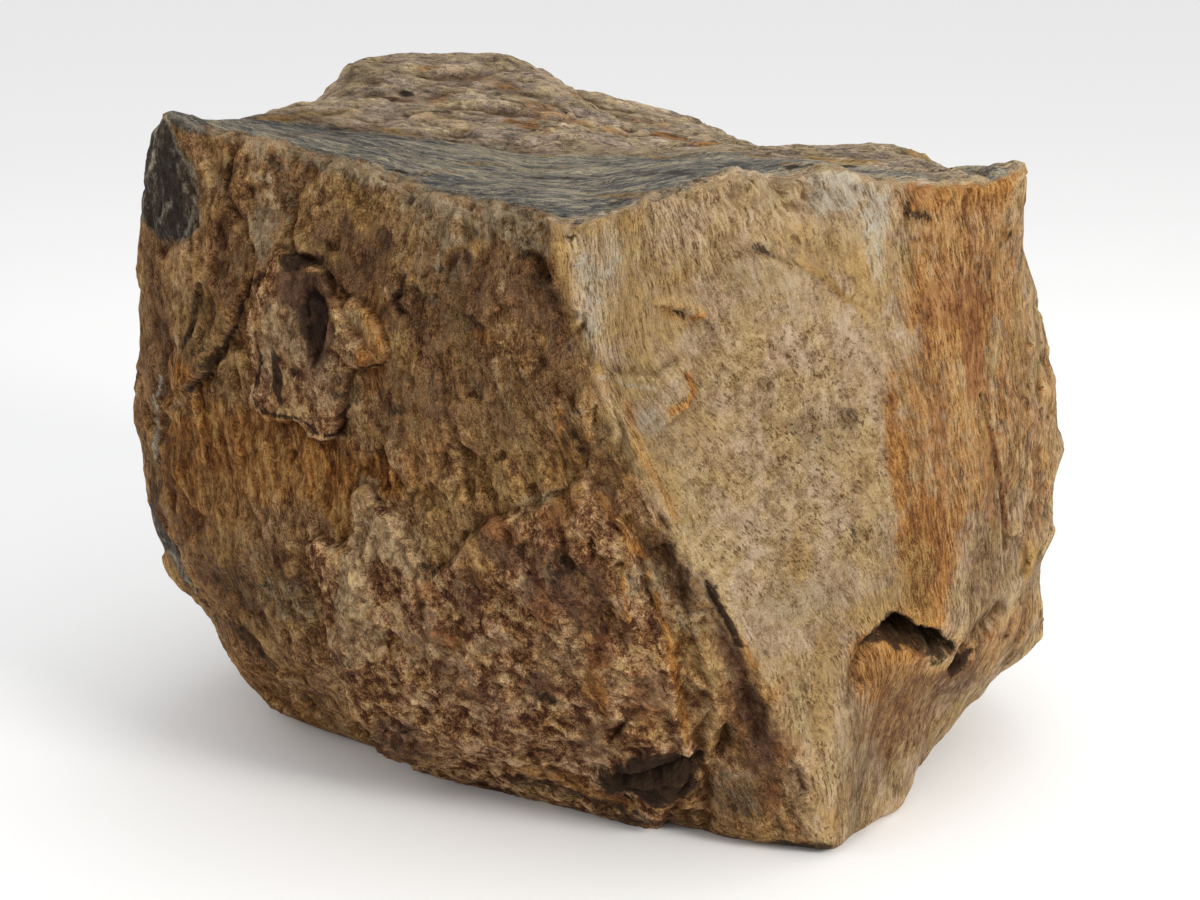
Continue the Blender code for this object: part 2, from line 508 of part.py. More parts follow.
def stone_material():
    """Dull tan stone."""
    material = bpy.data.materials.new("schist")
    material.use_nodes = True
    surface = material.node_tree.nodes["Principled BSDF"]
    surface.inputs["Base Color"].default_value = STONE_COLOUR
    surface.inputs["Roughness"].default_value = 0.88
    surface.inputs["Metallic"].default_value = 0.0
    material.diffuse_color = STONE_COLOUR
    return material


def main():
    """Builds the boulder."""
    noise.seed_set(NOISE_SEED)
    clear_scene()
    net = facet_net()
    boulder = bpy.data.objects.new("boulder", skin_over(net))
    net.free()
    bpy.context.scene.collection.objects.link(boulder)
    soften(boulder)
    carve(boulder.data)
    thin_out(boulder)
    boulder.data.shade_smooth()
    boulder.data.materials.append(stone_material())


main()
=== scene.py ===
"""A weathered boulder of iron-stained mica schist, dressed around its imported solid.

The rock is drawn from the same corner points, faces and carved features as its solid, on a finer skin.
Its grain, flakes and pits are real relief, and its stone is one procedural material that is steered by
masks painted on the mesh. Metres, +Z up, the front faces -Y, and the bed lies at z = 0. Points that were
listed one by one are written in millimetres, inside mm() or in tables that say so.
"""

import logging
import math
from abc import ABC, abstractmethod
from dataclasses import dataclass, field
from enum import Enum, auto
from typing import Sequence

import bmesh
import bpy
import numpy as np
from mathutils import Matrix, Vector, noise
from mathutils.bvhtree import BVHTree


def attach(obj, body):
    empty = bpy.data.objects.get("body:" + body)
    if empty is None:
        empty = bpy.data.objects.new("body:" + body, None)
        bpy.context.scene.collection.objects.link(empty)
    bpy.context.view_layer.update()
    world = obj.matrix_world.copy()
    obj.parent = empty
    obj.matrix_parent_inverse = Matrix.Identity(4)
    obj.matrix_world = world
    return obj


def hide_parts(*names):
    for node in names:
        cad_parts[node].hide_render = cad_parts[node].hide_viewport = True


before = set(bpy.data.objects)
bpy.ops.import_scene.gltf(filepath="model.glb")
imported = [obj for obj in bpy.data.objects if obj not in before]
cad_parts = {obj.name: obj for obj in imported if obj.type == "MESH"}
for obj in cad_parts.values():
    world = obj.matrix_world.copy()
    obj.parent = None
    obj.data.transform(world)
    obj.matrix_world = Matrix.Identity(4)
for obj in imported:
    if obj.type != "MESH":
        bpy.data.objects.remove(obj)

LOG = logging.getLogger("boulder")
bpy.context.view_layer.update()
NOISE_SEED = 1795468108  # the solid's own; without it the vector noise follows the clock

Point = tuple[float, float, float]
Spot = tuple[float, float]
Colour = tuple[float, float, float, float]
EVEN: Point = (1.0, 1.0, 1.0)


def mm(*places: tuple[int, ...]) -> tuple[tuple[float, ...], ...]:
    """The places in metres, where they are given in millimetres."""
    return tuple(tuple(value / 1000.0 for value in place) for place in places)


# ---- Corner points of the rock, by the edge or face they lie on, the same as its solid's. ----

FRONT_RIM = mm(  # the top edge of the front, from the left horn to the right horn
    (-455, -66, 734), (-400, -100, 712), (-362, -122, 714), (-300, -165, 704), (-246, -212, 697),
    (-205, -245, 687), (-163, -282, 677), (-93, -342, 676), (-37, -390, 670), (0, -380, 674),
    (37, -362, 686), (90, -335, 694), (137, -312, 704), (180, -288, 694), (222, -262, 702),
    (262, -232, 686), (303, -202, 677), (364, -162, 668), (400, -135, 666), (446, -105, 676),
)
RIDGE = mm(  # the nose between the left and the right face, from below the rim down to the toe
    (-29, -397, 616), (-9, -402, 551), (5, -402, 517), (18, -402, 483), (38, -402, 435), (62, -398, 388),
    (86, -392, 343), (111, -384, 295), (136, -377, 246), (162, -366, 198), (184, -353, 151),
    (204, -340, 105), (224, -332, 58), (243, -322, 0),
)
LEFT_FACE = mm(  # the broad face left of the ridge, row by row from the top
    (-143, -310, 617), (-246, -235, 622), (-345, -160, 618),
    (-94, -360, 561), (-174, -300, 547), (-279, -235, 532), (-382, -150, 512), (-57, -375, 448),
    (-146, -315, 430), (-252, -240, 409), (-353, -170, 389), (-440, -90, 366),
    (43, -385, 341), (-38, -385, 341), (-147, -330, 322), (-264, -250, 295), (-358, -170, 268),
    (-450, -70, 234),
    (78, -375, 256), (0, -370, 244), (-120, -320, 225), (-236, -250, 198), (-330, -150, 160),
    (-402, -55, 125),
    (100, -335, 132), (40, -335, 132), (-82, -283, 111), (-203, -195, 84), (-310, -85, 78),
)
LEFT_END = mm(  # the rounded left end, and the dark face that turns away behind it
    (-486, -10, 716), (-492, -30, 652), (-423, -100, 586), (-510, 20, 573), (-514, 20, 472),
    (-524, 30, 390), (-478, -30, 268), (-430, -5, 157), (-532, 60, 311), (-524, 100, 238), (-509, 120, 150),
    (-462, 100, 118), (-410, 35, 45),
)
TOP = mm(  # the trough behind the rim, the foot of the hump, the hump and its crest
    (-316, -50, 694), (-184, -120, 683), (-80, -180, 675), (0, -200, 676), (81, -150, 683), (147, -50, 681),
    (207, -100, 680), (317, -50, 665), (-351, 60, 694), (-219, 50, 679), (-108, 20, 672), (0, 0, 670),
    (112, 100, 662),
    (-208, 200, 703), (-92, 180, 700), (0, 170, 678),
    (-330, 270, 694), (-355, 180, 704), (-400, 80, 706),
    (-320, 320, 730), (-298, 345, 745), (-245, 380, 743), (-148, 400, 745), (-86, 400, 733),
    (-46, 380, 690), (49, 370, 677), (110, 350, 660), (172, 320, 634),
    (227, 280, 628), (292, 220, 634), (349, 160, 658), (400, 70, 634), (420, 0, 634),
)
RIGHT_FACE = mm(  # the pale face right of the ridge
    (94, -345, 624), (153, -330, 534), (95, -370, 446), (194, -320, 432), (244, -270, 570),
    (175, -350, 329), (248, -300, 312), (219, -320, 214), (166, -360, 250),
    (293, -220, 609), (286, -240, 533), (305, -250, 443), (307, -255, 361), (306, -250, 252),
)
RIGHT_END = mm(  # the rusty strip, its outer edge, and the bulge over the notch
    (366, -165, 599), (369, -185, 446), (379, -190, 319), (421, -140, 380), (456, -80, 642),
    (447, -80, 605), (446, -70, 558), (479, -50, 483), (500, -40, 436), (520, -20, 357), (517, -20, 300),
    (506, -10, 255), (502, 0, 215), (514, 0, 127),
    (343, -240, 260), (361, -235, 220), (409, -170, 179), (444, -120, 183),
)
LOWER_RIGHT = mm(  # the recessed face under the notch and the edge below it
    (274, -290, 181), (337, -210, 138), (378, -150, 102), (292, -250, 75), (278, -290, 10),
    (324, -215, 0), (350, -160, 24), (384, -120, 45), (415, -90, 72), (454, -50, 98), (494, -20, 112),
)
BACK = mm(  # the rim, the face and the foot of the back
    (-470, 100, 640), (-420, 270, 600), (-330, 400, 660), (-200, 470, 700), (-50, 480, 660),
    (100, 460, 600), (220, 400, 570), (330, 300, 580), (400, 150, 585), (436, 30, 600),
    (-460, 250, 420), (-300, 460, 450), (-80, 500, 420), (140, 470, 360), (330, 360, 380), (450, 180, 400),
    (500, 80, 330),
    (-470, 240, 200), (-330, 400, 200), (-100, 440, 160), (140, 420, 150), (360, 300, 160), (480, 140, 150),
    (-360, 300, 30), (-200, 370, 0), (20, 380, 0), (200, 330, 0), (360, 200, 20), (420, 50, 40),
)
BED = mm(  # the flat underside
    (185, -310, 0), (130, -284, 0), (60, -240, 0), (0, -200, 0), (-109, -140, 0), (-225, -70, 0),
    (-366, 40, 0),
    (-370, 150, 0), (320, 120, 0), (330, 0, 0), (290, -130, 0), (0, 50, 0),
)
CORNERS = (
    FRONT_RIM + RIDGE + LEFT_FACE + LEFT_END + TOP + RIGHT_FACE + RIGHT_END + LOWER_RIGHT + BACK + BED
)
HEART = Vector((0.0, -0.02, 0.33))  # every corner can be seen from here


RIM_REACH = 0.030  # how far behind the front's rim its own breaks and wear reach


# ---- Measures and noises over many points at once. ----


def fade(value: np.ndarray, low: float, high: float) -> np.ndarray:
    """Rises smoothly from 0 at low to 1 at high.

    Args:
        value: the numbers to grade.
        low: where the rise starts.
        high: where it ends.

    Returns:
        One share from 0 to 1 for each number.
    """
    share = np.clip((value - low) / (high - low), 0.0, 1.0)
    return share * share * (3.0 - 2.0 * share)


def fractal(points: np.ndarray, size: float, octaves: int = 3, stretch: Point = EVEN) -> np.ndarray:
    """Fractal noise at each point.

    Args:
        points: places in metres, one row each.
        size: how far apart the largest lumps lie, in metres.
        octaves: how many sizes of lump there are.
        stretch: how much longer the lumps are along each axis.

    Returns:
        About -1 to 1 for each point.
    """
    grid = points / (size * np.array(stretch))
    return np.array([noise.fractal(spot, 1.0, 2.0, octaves) for spot in grid])


def distance_to(points: np.ndarray, line: Sequence[tuple[float, ...]], closed: bool = False) -> tuple:
    """Measures how each point lies to a line.

    Args:
        points: places with two or three coordinates, one row each.
        line: the line's own points, with as many coordinates.
        closed: whether the last point joins the first.

    Returns:
        The distance, the side (1 is left, -1 is right, in two dimensions only) and how far past an end.
    """
    ends = np.array(tuple(line) + tuple(line[:1]) if closed else line, float)
    best = np.full(len(points), np.inf)
    side = np.ones(len(points))
    past = np.zeros(len(points))
    last = len(ends) - 2
    for index, (start, end) in enumerate(zip(ends[:-1], ends[1:])):
        run = end - start
        offset = points - start
        share = offset @ run / (run @ run)
        near = offset - np.clip(share, 0.0, 1.0)[:, None] * run
        distance = np.linalg.norm(near, axis=1)
        closer = distance < best
        best[closer] = distance[closer]
        if points.shape[1] == 2:
            side[closer] = np.sign(run[0] * offset[closer, 1] - run[1] * offset[closer, 0])
        over = np.zeros(len(points))
        if index == 0:
            over = np.maximum(over, -share)
        if index == last:
            over = np.maximum(over, share - 1.0)
        past[closer] = over[closer] * np.linalg.norm(run)
    return best, side, past


def depth_inside(points: np.ndarray, outline: Sequence[Spot]) -> np.ndarray:
    """Measures how deep each point lies inside an outline.

    Args:
        points: places with two coordinates, one row each.
        outline: the outline's corners.

    Returns:
        The distance to the outline in metres, negative outside it.
    """
    found = np.zeros(len(points), bool)
    for (x0, z0), (x1, z1) in zip(outline, tuple(outline[1:]) + tuple(outline[:1])):
        spans = (z0 > points[:, 1]) != (z1 > points[:, 1])
        if z0 != z1:
            found ^= spans & (points[:, 0] < x0 + (points[:, 1] - z0) * (x1 - x0) / (z1 - z0))
    return distance_to(points, outline, closed=True)[0] * np.where(found, 1.0, -1.0)


def near_rim(points: np.ndarray, reach: float) -> np.ndarray:
    """How near each point is to the front's rim: 1 along it, 0 from the reach on."""
    return 1.0 - fade(distance_to(points, FRONT_RIM)[0], 0.3 * reach, reach)


# ---- Objects, and meshes read and written as arrays. ----


def placed(name: str, data: bpy.types.ID) -> bpy.types.Object:
    """Adds an object to the scene.

    Args:
        name: its name.
        data: its mesh, lamp or camera.

    Returns:
        The object.
    """
    obj = bpy.data.objects.new(name, data)
    bpy.context.scene.collection.objects.link(obj)
    return obj


def evaluated(obj: bpy.types.Object) -> bpy.types.Mesh:
    """A mesh of the object as its modifiers leave it."""
    return bpy.data.meshes.new_from_object(obj.evaluated_get(bpy.context.evaluated_depsgraph_get()))


def modified(obj: bpy.types.Object, kind: str, **settings: float) -> bpy.types.Mesh:
    """Runs one modifier on an object, and takes it off again.

    Args:
        obj: the object.
        kind: the modifier's type.
        settings: its properties.

    Returns:
        The mesh that it makes.
    """
    modifier = obj.modifiers.new(kind.lower(), kind)
    for name, value in settings.items():
        setattr(modifier, name, value)
    mesh = evaluated(obj)
    obj.modifiers.remove(modifier)
    return mesh


def points_of(mesh: bpy.types.Mesh) -> np.ndarray:
    """Reads a mesh's points.

    Args:
        mesh: the mesh.

    Returns:
        One row for each point.
    """
    points = np.empty(len(mesh.vertices) * 3, np.float32)
    mesh.vertices.foreach_get("co", points)
    return points.reshape(-1, 3).astype(float)


def normals_of(mesh: bpy.types.Mesh) -> np.ndarray:
    """Reads a mesh's normals at its points.

    Args:
        mesh: the mesh.

    Returns:
        One row for each point.
    """
    normals = np.empty(len(mesh.vertices) * 3, np.float32)
    mesh.vertex_normals.foreach_get("vector", normals)
    return normals.reshape(-1, 3).astype(float)


def move_points(mesh: bpy.types.Mesh, points: np.ndarray) -> None:
    """Sets the mesh's points."""
    mesh.vertices.foreach_set("co", points.astype(np.float32).ravel())
    mesh.update()


# ---- Features of the front, drawn in its elevation: points are (x, z). ----

SCAB_OUTLINE = mm(
    (-318, 606), (-293, 601), (-270, 592), (-263, 573), (-244, 556), (-234, 538), (-215, 518), (-216, 504),
    (-240, 499), (-244, 479), (-256, 443), (-263, 426), (-273, 416), (-288, 419), (-305, 431), (-330, 426),
    (-356, 431), (-360, 443), (-350, 475), (-357, 501), (-355, 522), (-343, 552), (-327, 580),
)
SCAB_PIT = mm(
    (-289, 568), (-275, 575), (-262, 572), (-256, 563), (-252, 545), (-255, 527), (-262, 511), (-270, 497),
    (-279, 500), (-284, 518), (-288, 545), (-291, 560),
)
CRUST_OUTLINE = mm(
    (-302, 311), (-280, 318), (-260, 316), (-247, 332), (-250, 352), (-247, 369), (-240, 385), (-229, 383),
    (-219, 369), (-206, 366), (-197, 362), (-187, 342), (-172, 324), (-160, 311), (-146, 324), (-128, 352),
    (-108, 372), (-83, 387), (-63, 394), (-43, 409), (-26, 421), (-12, 428), (0, 406), (13, 389), (30, 369),
    (38, 346), (52, 306), (69, 254), (77, 206), (85, 160), (96, 128), (92, 86), (76, 50), (66, -50),
    (-200, -50), (-223, 68), (-235, 105), (-250, 123), (-263, 140), (-272, 170), (-276, 208), (-279, 239),
    (-280, 265), (-288, 282), (-303, 292),
)
NOTCH_OUTLINE = mm(
    (262, 221), (266, 226), (274, 231), (286, 239), (292, 245), (302, 242), (313, 235), (322, 226),
    (339, 220), (352, 213), (360, 200), (371, 188), (375, 176), (364, 174), (360, 165), (348, 170),
    (343, 186), (322, 198), (311, 206), (301, 208), (293, 217), (277, 221),
)
FRESH_ARRISES = (FRONT_RIM, RIDGE[2:], LOWER_RIGHT[5:])  # the arrises that are still keen


@dataclass
class Site:
    """The skin that features are cut into: its worn points, the way out at each, and where each has moved to.

    front is how squarely each point faces the front, and wobble is a small unrest for the features' edges.
    """

    base: np.ndarray
    normals: np.ndarray
    points: np.ndarray
    front: np.ndarray = field(init=False)
    elevation: np.ndarray = field(init=False)
    wobble: np.ndarray = field(init=False)

    def __post_init__(self) -> None:
        """Works out how the points face and where they lie in the front's elevation."""
        self.elevation = self.base[:, [0, 2]]
        self.front = fade(-self.normals[:, 1], 0.05, 0.30) * (self.base[:, 1] < 0.1)
        self.wobble = 0.004 * fractal(self.base, 0.03, 2) + 0.0015 * fractal(self.base + 9.0, 0.008, 2)

    def raise_by(self, height: np.ndarray) -> None:
        """Moves every point out by its height, along its normal."""
        self.points += height[:, None] * self.normals


class Feature(ABC):
    """Something that is cut into the rock or stands out of it."""

    @abstractmethod
    def cut(self, site: Site) -> None:
        """Moves the site's points."""


@dataclass(frozen=True)
class Patch(Feature):
    """A piece of the face with an outline of its own, standing proud of it or lying back from it.

    rise is how far it stands out, slope is how wide its edge is, lift tips the movement upwards, and rough is
    how broken its surface is.
    """

    outline: tuple
    rise: float
    slope: float
    lift: float = 0.0
    rough: float = 0.0

    def cut(self, site: Site) -> None:
        """Raises or sinks the patch.

        Args:
            site: the skin that is carved.
        """
        share = site.front * fade(depth_inside(site.elevation, self.outline) + site.wobble, 0.0, self.slope)
        heading = site.normals + self.lift * np.sign(-self.rise) * np.array((0.0, 0.0, -1.0))
        site.points += (self.rise * share)[:, None] * heading
        if self.rough:
            inner = share > 0.0
            height = self.rough * share[inner] * fractal(site.base[inner] + 2.0, 0.015)
            site.points[inner] += height[:, None] * site.normals[inner]


@dataclass(frozen=True)
class Ledge(Feature):
    """The broken edge of a flake: the face left of the line is raised by drop, less and less over reach."""

    line: tuple
    drop: float
    reach: float

    def cut(self, site: Site) -> None:
        """Raises the flake.

        Args:
            site: the skin that is carved.
        """
        away, side, past = distance_to(site.elevation, self.line)
        gap = away * side + site.wobble
        share = fade(gap, 0.0, 0.004) * np.clip(1.0 - gap / self.reach, 0.0, 1.0)
        share *= site.front * (1.0 - fade(past, 0.0, 0.4 * self.reach))
        site.raise_by(self.drop * share)


@dataclass(frozen=True)
class Cleft(Feature):
    """A crease or crack along a line, with rounded walls. A negative depth makes a rib of it."""

    line: tuple
    depth: float
    width: float

    def cut(self, site: Site) -> None:
        """Sinks the crease.

        Args:
            site: the skin that is carved.
        """
        away, _, past = distance_to(site.elevation, self.line)
        share = np.exp(-((away + site.wobble) ** 2 + past**2) / self.width**2) * site.front
        site.raise_by(-self.depth * share)


@dataclass(frozen=True)
class Bite(Feature):
    """A shell-shaped fracture: the rock inside a ball is gone. The centre lies outside the rock."""

    centre: Point
    radius: float
    unrest: float = 0.005  # how uneven its wall is

    def cut(self, site: Site) -> None:
        """Pushes the points inside the ball back to its wall.

        Args:
            site: the skin that is carved.
        """
        offset = site.points - np.array(self.centre)
        reach = np.linalg.norm(offset, axis=1)
        edge = self.radius + self.unrest * fractal(site.base, 0.07)
        gone = reach < edge
        site.points[gone] = np.array(self.centre) + offset[gone] * (edge / reach)[gone, None]


FEATURES: tuple[Feature, ...] = (
    Patch(SCAB_OUTLINE, rise=0.015, slope=0.004),
    Patch(SCAB_PIT, rise=-0.008, slope=0.009, rough=0.003),
    Patch(CRUST_OUTLINE, rise=0.012, slope=0.008),
    Patch(NOTCH_OUTLINE, rise=-0.045, slope=0.007, lift=0.45, rough=0.007),
    Patch(mm((10, 87), (40, 101), (66, 113), (86, 122), (97, 113), (95, 98), (76, 92), (53, 84), (24, 73)),
          rise=-0.013, slope=0.006, lift=0.5),  # the slot under the crust
    Patch(mm((121, 177), (131, 164), (135, 137), (124, 110), (112, 120), (115, 149)), rise=-0.010,
          slope=0.007),  # the small hollow right of the crust
    # The scab's right plate:
    Patch(mm((-255, 565), (-239, 571), (-227, 567), (-217, 557), (-208, 542), (-204, 524), (-211, 511),
          (-226, 504), (-237, 504), (-246, 517), (-252, 537)), rise=0.008, slope=0.005),
    Patch(mm((-73, 637), (-65, 643), (-53, 636), (-48, 624), (-45, 614), (-56, 609), (-66, 620)),
          rise=-0.009, slope=0.006),  # the hollow by the top of the nose
    Patch(mm((-473, 407), (-465, 392), (-469, 370), (-485, 347), (-493, 357), (-486, 382)), rise=-0.008,
          slope=0.005),  # the dark wedge at the left arris
    Patch(mm((-262, 410), (-215, 415), (-195, 385), (-200, 362), (-232, 376), (-262, 345)), rise=-0.007,
          slope=0.020),  # the rusty hollow over the crust's arm
    # The knob at the head of the crust's right side:
    Patch(mm((-12, 378), (6, 384), (24, 372), (30, 352), (14, 344), (-6, 354)), rise=0.007, slope=0.010),
    # The crust's thick left side:
    Ledge(mm((-290, 285), (-280, 240), (-272, 170), (-250, 123), (-223, 68)), drop=0.014, reach=0.110),
    Ledge(mm((70, 534), (53, 522), (20, 531), (-10, 541)), drop=0.004, reach=0.050),
    Ledge(mm((59, 586), (74, 580), (98, 568)), drop=0.005, reach=0.040),
    Ledge(mm((68, 480), (83, 488), (89, 508), (80, 522)), drop=0.005, reach=0.045),
    Ledge(mm((-126, 574), (-119, 565), (-110, 559), (-103, 573), (-85, 583)), drop=0.007, reach=0.045),
    Ledge(mm((-431, 436), (-422, 448), (-404, 461), (-400, 483), (-389, 498), (-376, 519), (-369, 543)),
          drop=0.010, reach=0.060),
    Ledge(mm((-366, 707), (-376, 689), (-380, 666), (-381, 648), (-369, 637), (-363, 627), (-354, 611),
          (-349, 590), (-355, 562)), drop=0.006, reach=0.055),
    Ledge(mm((-322, 608), (-301, 601), (-285, 599), (-270, 592), (-252, 576)), drop=0.005, reach=0.040),
    Ledge(mm((-200, 572), (-187, 580), (-177, 591), (-169, 580), (-151, 578)), drop=0.006, reach=0.040),
    Ledge(mm((-485, 347), (-466, 332), (-455, 315), (-443, 299)), drop=0.005, reach=0.040),
    Ledge(mm((103, 324), (111, 299), (124, 276), (136, 250), (147, 224), (158, 189), (167, 147)),
          drop=0.004, reach=0.030),  # the keen edge of the pale face
    # The brink of the recess under the notch:
    Ledge(mm((256, 120), (250, 172), (254, 203), (263, 217), (274, 222)), drop=0.002, reach=0.035),
    Ledge(mm((-476, 401), (-488, 355), (-484, 309), (-476, 267), (-466, 210), (-440, 155)), drop=0.008,
          reach=0.060),  # the left arris
    # The long crack down the left:
    Cleft(mm((-369, 707), (-379, 689), (-384, 666), (-384, 648), (-372, 636), (-366, 626), (-357, 610),
          (-352, 590), (-358, 562), (-389, 504), (-407, 457), (-435, 430)), depth=0.004, width=0.003),
    Cleft(mm((-415, 554), (-416, 516), (-424, 498), (-436, 479)), depth=0.003, width=0.003),
    Cleft(mm((-404, 625), (-388, 612), (-387, 597)), depth=0.0025, width=0.004),
    Cleft(mm((-190, 595), (-188, 585), (-198, 573), (-191, 562)), depth=0.005, width=0.004),
    Cleft(mm((-216, 415), (-202, 401), (-193, 386)), depth=0.005, width=0.005),
    Cleft(mm((148, 629), (178, 616), (187, 606), (229, 581), (260, 559)), depth=0.0015, width=0.004),
    Cleft(mm((398, 445), (409, 404), (417, 359), (429, 320), (436, 269)), depth=0.004, width=0.003),
    Cleft(mm((376, 152), (383, 162), (390, 168)), depth=0.016, width=0.005),  # under the bulge
    Cleft(mm((392, 170), (401, 182), (412, 190), (420, 195), (433, 200)), depth=0.012, width=0.014),
    Cleft(mm((250, 165), (254, 203), (263, 217), (274, 224)), depth=0.005, width=0.008),
    Cleft(mm((-295, 285), (-290, 240), (-285, 170), (-262, 118)), depth=0.012, width=0.022),
    Cleft(mm((-5, 415), (11, 391), (26, 374), (38, 346), (48, 318), (57, 287), (67, 259), (73, 218),
          (79, 173), (89, 129)), depth=-0.008, width=0.006),  # the rib down the crust's right side
    Cleft(mm((22, 374), (28, 357), (22, 332), (24, 308), (28, 277)), depth=-0.005, width=0.005),
    Cleft(mm((37, 329), (48, 294), (54, 268)), depth=0.005, width=0.006),
    Cleft(mm((56, 355), (73, 324), (84, 299), (96, 272)), depth=0.006, width=0.008),
    Cleft(mm((91, 292), (98, 255), (107, 227), (113, 200), (117, 168), (110, 135), (107, 106)),
          depth=-0.006, width=0.006),
    Cleft(mm((133, 181), (142, 156), (152, 119)), depth=-0.005, width=0.006),
    Cleft(mm((96, 322), (104, 297), (116, 274), (127, 248), (137, 222), (147, 187), (155, 147)),
          depth=0.005, width=0.012),  # the gash left of the pale face
    Cleft(mm((101, 79), (108, 45), (108, 7)), depth=0.008, width=0.007),
    Cleft(mm((-40, 499), (-35, 470), (-20, 430)), depth=-0.005, width=0.008),
    Cleft(mm((-45, 400), (-40, 375), (-28, 345), (-12, 318), (6, 300), (22, 262)), depth=0.007,
          width=0.009),  # the gully down the crust
    Cleft(mm((-90, 362), (-74, 352), (-64, 325)), depth=0.005, width=0.007),
    Cleft(mm((-58, 180), (-42, 155), (-28, 145)), depth=0.004, width=0.005),
    Cleft(mm((10, 140), (22, 152), (30, 168)), depth=0.004, width=0.005),
    Bite((0.190, -0.335, 0.745), 0.065),  # the saddle where the trough spills over the rim
    Bite((0.060, -0.420, 0.735), 0.070),
    Bite((-0.330, -0.200, 0.770), 0.075),
    Bite((0.605, -0.010, 0.292), 0.106),
    Bite((-1.020, 0.380, 0.520), 0.600),  # broad scars of the left end, the back and the right end
    Bite((0.120, 1.020, 0.660), 0.600),
    Bite((0.860, 0.720, 0.200), 0.645),
    Bite((-0.620, 0.980, 0.020), 0.710),
    Bite((0.860, 0.400, 0.740), 0.560),
)


# ---- The relief of the faces, and the rock's shape. ----


class Ground(Enum):
    """The kinds of ground that relief lies on."""

    WHOLE = auto()
    PLATED = auto()
    FLAKED = auto()
    CHIPPED = auto()
    CRUST = auto()
    RIGHT = auto()
    OUTER = auto()
    TROUGH = auto()
    HUMP = auto()
    RIM = auto()
    BACK = auto()
    REST = auto()


@dataclass(frozen=True)
class Layer(ABC):
    """One size of relief.

    height is how far it stands out and size how far apart its forms lie, in metres, stretch is how much
    longer they are along each axis, and shift keeps its pattern apart from that of other layers.
    """

    height: float
    size: float
    stretch: Point = EVEN
    shift: float = 0.0

    @abstractmethod
    def pattern(self, spots: np.ndarray) -> np.ndarray:
        """The relief from about -1 to 1 at each spot."""

    def over(self, spots: np.ndarray, share: np.ndarray) -> np.ndarray:
        """Works out how far the relief stands out.

        Args:
            spots: places in metres, one row each.
            share: how much of the relief belongs at each.

        Returns:
            The height in metres, one for each spot.
        """
        height = np.zeros(len(spots))
        there = share != 0.0
        height[there] = self.height * share[there] * self.pattern(spots[there] + self.shift)
        return height


@dataclass(frozen=True)
class Swell(Layer):
    """Rounded lumps."""

    def pattern(self, spots: np.ndarray) -> np.ndarray:
        """Fractal noise."""
        return fractal(spots, self.size, stretch=self.stretch)


@dataclass(frozen=True)
class Shards(Layer):
    """A fracture: every cell is a leaning plane with a step at its edge.

    bevel is how wide a step is, in cells, and tilt is how steeply the planes lean.
    """

    bevel: float = 0.12
    tilt: float = 1.2

    def pattern(self, spots: np.ndarray) -> np.ndarray:
        """Works out the leaning planes, with their steps.

        Args:
            spots: places in metres, one row each.

        Returns:
            One height for each spot.
        """
        relief = np.empty(len(spots))
        for index, place in enumerate(spots / (self.size * np.array(self.stretch))):
            spot = Vector(place)
            distances, centres = noise.voronoi(spot)
            near, next_near = (self.plane(spot, centre) for centre in centres[:2])
            share = 0.5 + 0.5 * min((distances[1] - distances[0]) / self.bevel, 1.0)
            relief[index] = share * near + (1.0 - share) * next_near
        return relief

    def plane(self, spot: Vector, centre: Vector) -> float:
        """The height at a spot of the leaning plane that belongs to a cell's centre."""
        lean = noise.noise_vector(centre * 7.3)
        return 1.4 * noise.noise(centre * 5.7) + self.tilt * lean.dot(spot - centre)


LAYERS: tuple[tuple[Ground, Layer], ...] = (
    (Ground.WHOLE, Swell(0.006, 0.20)),
    (Ground.PLATED, Shards(0.0050, 0.050, (1.0, 1.0, 1.7), bevel=0.08, tilt=1.8)),
    (Ground.FLAKED, Shards(0.0032, 0.026, (1.0, 1.0, 1.6), shift=3.0, bevel=0.08, tilt=2.2)),
    (Ground.CHIPPED, Shards(0.0019, 0.013, (1.0, 1.0, 1.5), shift=6.0, tilt=2.2)),
    (Ground.CRUST, Shards(0.0045, 0.040, bevel=0.5, tilt=2.0)),
    (Ground.CRUST, Swell(0.0035, 0.040)),
    (Ground.CRUST, Shards(0.0026, 0.016, (1.0, 1.0, 1.4), shift=2.0, bevel=0.2, tilt=2.5)),
    (Ground.RIGHT, Swell(0.0035, 0.10, (1.2, 1.0, 1.8))),
    (Ground.TROUGH, Swell(0.0030, 0.10, (1.2, 1.0, 1.8))),
    (Ground.RIGHT, Shards(0.0015, 0.060, (1.0, 1.0, 1.6))),
    (Ground.OUTER, Shards(0.0032, 0.022, (1.0, 1.0, 1.5), shift=7.0, bevel=0.10, tilt=2.0)),
    (Ground.HUMP, Shards(0.0055, 0.034, (2.6, 1.4, 0.6))),
    (Ground.HUMP, Shards(0.0024, 0.014, (3.0, 1.4, 0.5), shift=4.0, tilt=3.0)),
    (Ground.RIM, Shards(0.0040, 0.016, (1.0, 1.0, 1.6), shift=9.0, tilt=2.0)),
    (Ground.BACK, Shards(0.0060, 0.085, (1.0, 1.4, 1.6))),
    (Ground.REST, Shards(0.0045, 0.030, (1.0, 1.2, 1.5), shift=5.0)),
)


